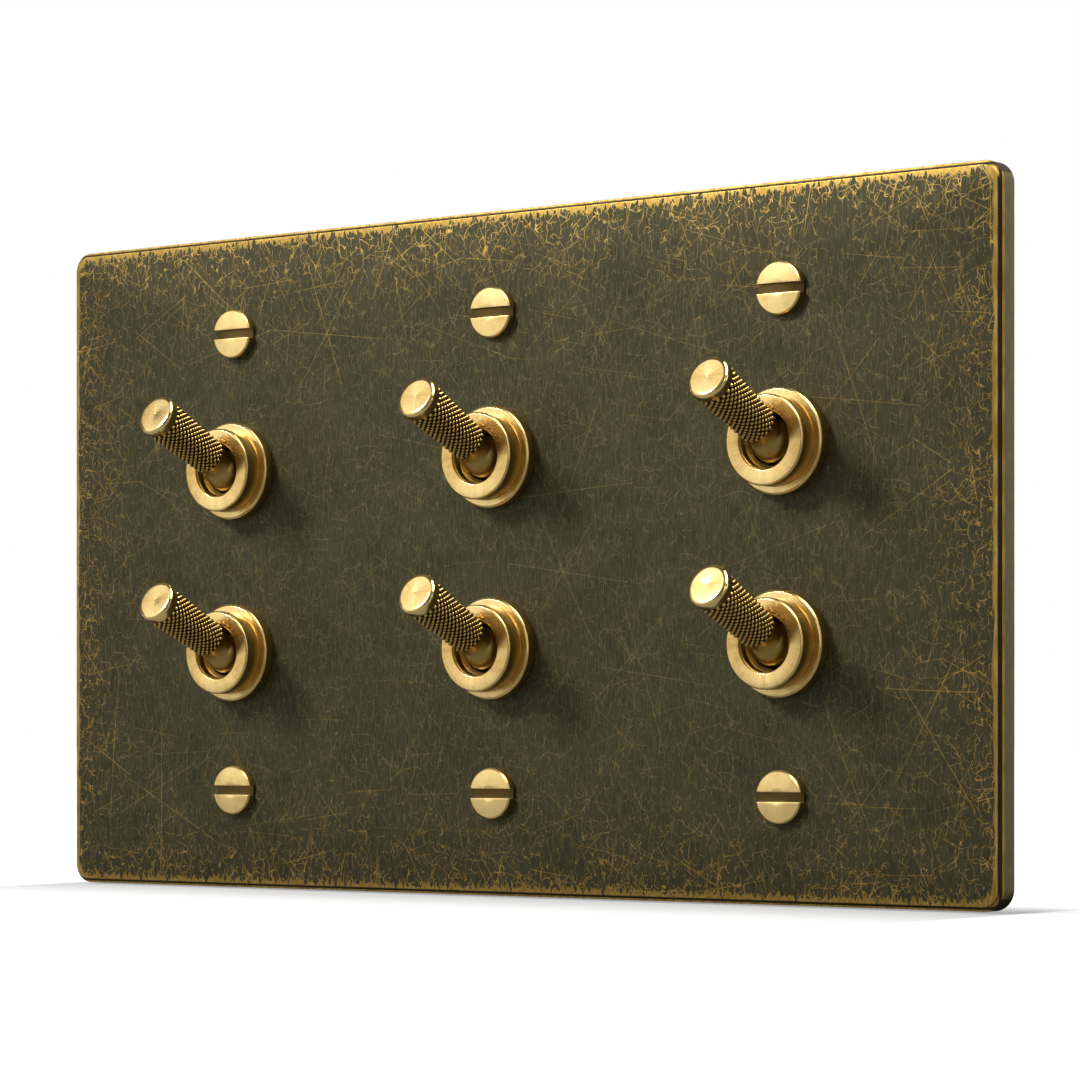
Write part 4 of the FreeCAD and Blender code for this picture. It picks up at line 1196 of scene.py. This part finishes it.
def lamp(name, place, size, power):
    """A soft lamp that faces the middle of the plate."""
    light = bpy.data.lights.new(name, "AREA")
    light.shape = "RECTANGLE"
    light.size, light.size_y = size
    light.energy = power
    holder = bpy.data.objects.new(name, light)
    bpy.context.scene.collection.objects.link(holder)
    direction = -Vector(place)
    holder.location = place
    holder.rotation_euler = direction.to_track_quat("-Z", "Y").to_euler()


def make_floor():
    """A pale floor that shows white but for the soft shade under the plate, partly cast by the lamps and
    partly painted by a weaker glow near the plate.
    """
    form = bmesh.new()
    bmesh.ops.create_grid(form, x_segments=1, y_segments=1, size=FLOOR_HALF)
    bmesh.ops.translate(form, vec=(0.0, 0.0, plate_low.z - FLOOR_GAP), verts=form.verts)
    mesh = bpy.data.meshes.new("floor")
    form.to_mesh(mesh)
    form.free()
    floor = new_piece("floor", mesh)
    material, start = new_finish("pale_floor")
    path = start.node("ShaderNodeLightPath", output="Is Camera Ray")
    seen = start.math("MAXIMUM", path, path.also("Is Transmission Ray"))
    place = in_millimetres(start)
    across, deep, _ = split(place)
    beside = start.math("MAXIMUM", abs(across) - PLATE_WIDE / 2 / MM, 0.0)
    away = start.math("SQRT", beside * beside + deep * deep)
    grain = cloud(place, 0.05, 2.0)
    shade = grain.between(FLOOR_GREY, FLOOR_PALE)
    matt = start.node("ShaderNodeBsdfDiffuse", inputs={"Color": shade})
    clear = start.math("MAXIMUM", deep.rise(0.0, 20.0), beside.rise(0.0, 2.5))
    # Painted shade: the glow that keeps the floor white is weaker close to the plate.
    level = seen * (0.34 + away.rise(-2.0, 33.0) * 0.38 + clear * 0.45)
    glow = start.node("ShaderNodeEmission", inputs={"Color": WHITE, "Strength": level})
    both = start.node("ShaderNodeAddShader", inputs={0: matt, 1: glow})
    start.node("ShaderNodeOutputMaterial", inputs={"Surface": both})
    mesh.materials.append(material)


def make_world():
    """A white studio, which the brass mirrors dim from in front and bright from behind and above."""
    world = bpy.data.worlds.new("studio")
    world.use_nodes = True
    world.node_tree.nodes.clear()
    start = Wire(world.node_tree)
    path = start.node("ShaderNodeLightPath", output="Is Camera Ray")
    seen = start.math("MAXIMUM", path, path.also("Is Transmission Ray"))
    way = start.node("ShaderNodeTexCoord", output="Generated")
    across, deep, up = split(way)
    ahead = (across * -0.6 + deep * -0.8).rise(-0.1, 1.0)
    behind = (across * 0.6 + deep * 0.8).rise(0.3, 1.0)
    above = (across * 0.4 + up * 0.91).rise(0.86, 0.95)
    reflected = 0.06 + ahead * 0.2 + behind * 1.3 + above * 9.0
    glossy = path.also("Is Glossy Ray")
    level = seen + (1.0 - seen) * (glossy * reflected + (1.0 - glossy) * 0.15)
    sky = start.node("ShaderNodeBackground", inputs={"Color": WHITE, "Strength": level})
    start.node("ShaderNodeOutputWorld", inputs={"Surface": sky})
    bpy.context.scene.world = world


def make_camera():
    """The photo's view: level, from the right and a little below the plate's middle."""
    view = bpy.data.cameras.new("camera")
    view.sensor_width = SENSOR
    view.lens = SENSOR * FOCAL_PIXELS / FRAME_PIXELS
    view.shift_y = (HORIZON_PIXEL - FRAME_PIXELS / 2) / FRAME_PIXELS
    view.clip_start = 0.01
    view.clip_end = 20.0
    holder = bpy.data.objects.new("camera", view)
    holder.location = CAMERA_PLACE
    holder.rotation_euler = (math.pi / 2, 0.0, CAMERA_TURN)
    bpy.context.scene.collection.objects.link(holder)
    bpy.context.scene.camera = holder


lamp("key_lamp", KEY_PLACE, KEY_SIZE, KEY_POWER)
lamp("soft_lamp", SOFT_PLACE, SOFT_SIZE, SOFT_POWER)
lamp("fill_lamp", FILL_PLACE, FILL_SIZE, FILL_POWER)
make_floor()
make_world()
make_camera()
bpy.context.scene.view_settings.view_transform = "Standard"
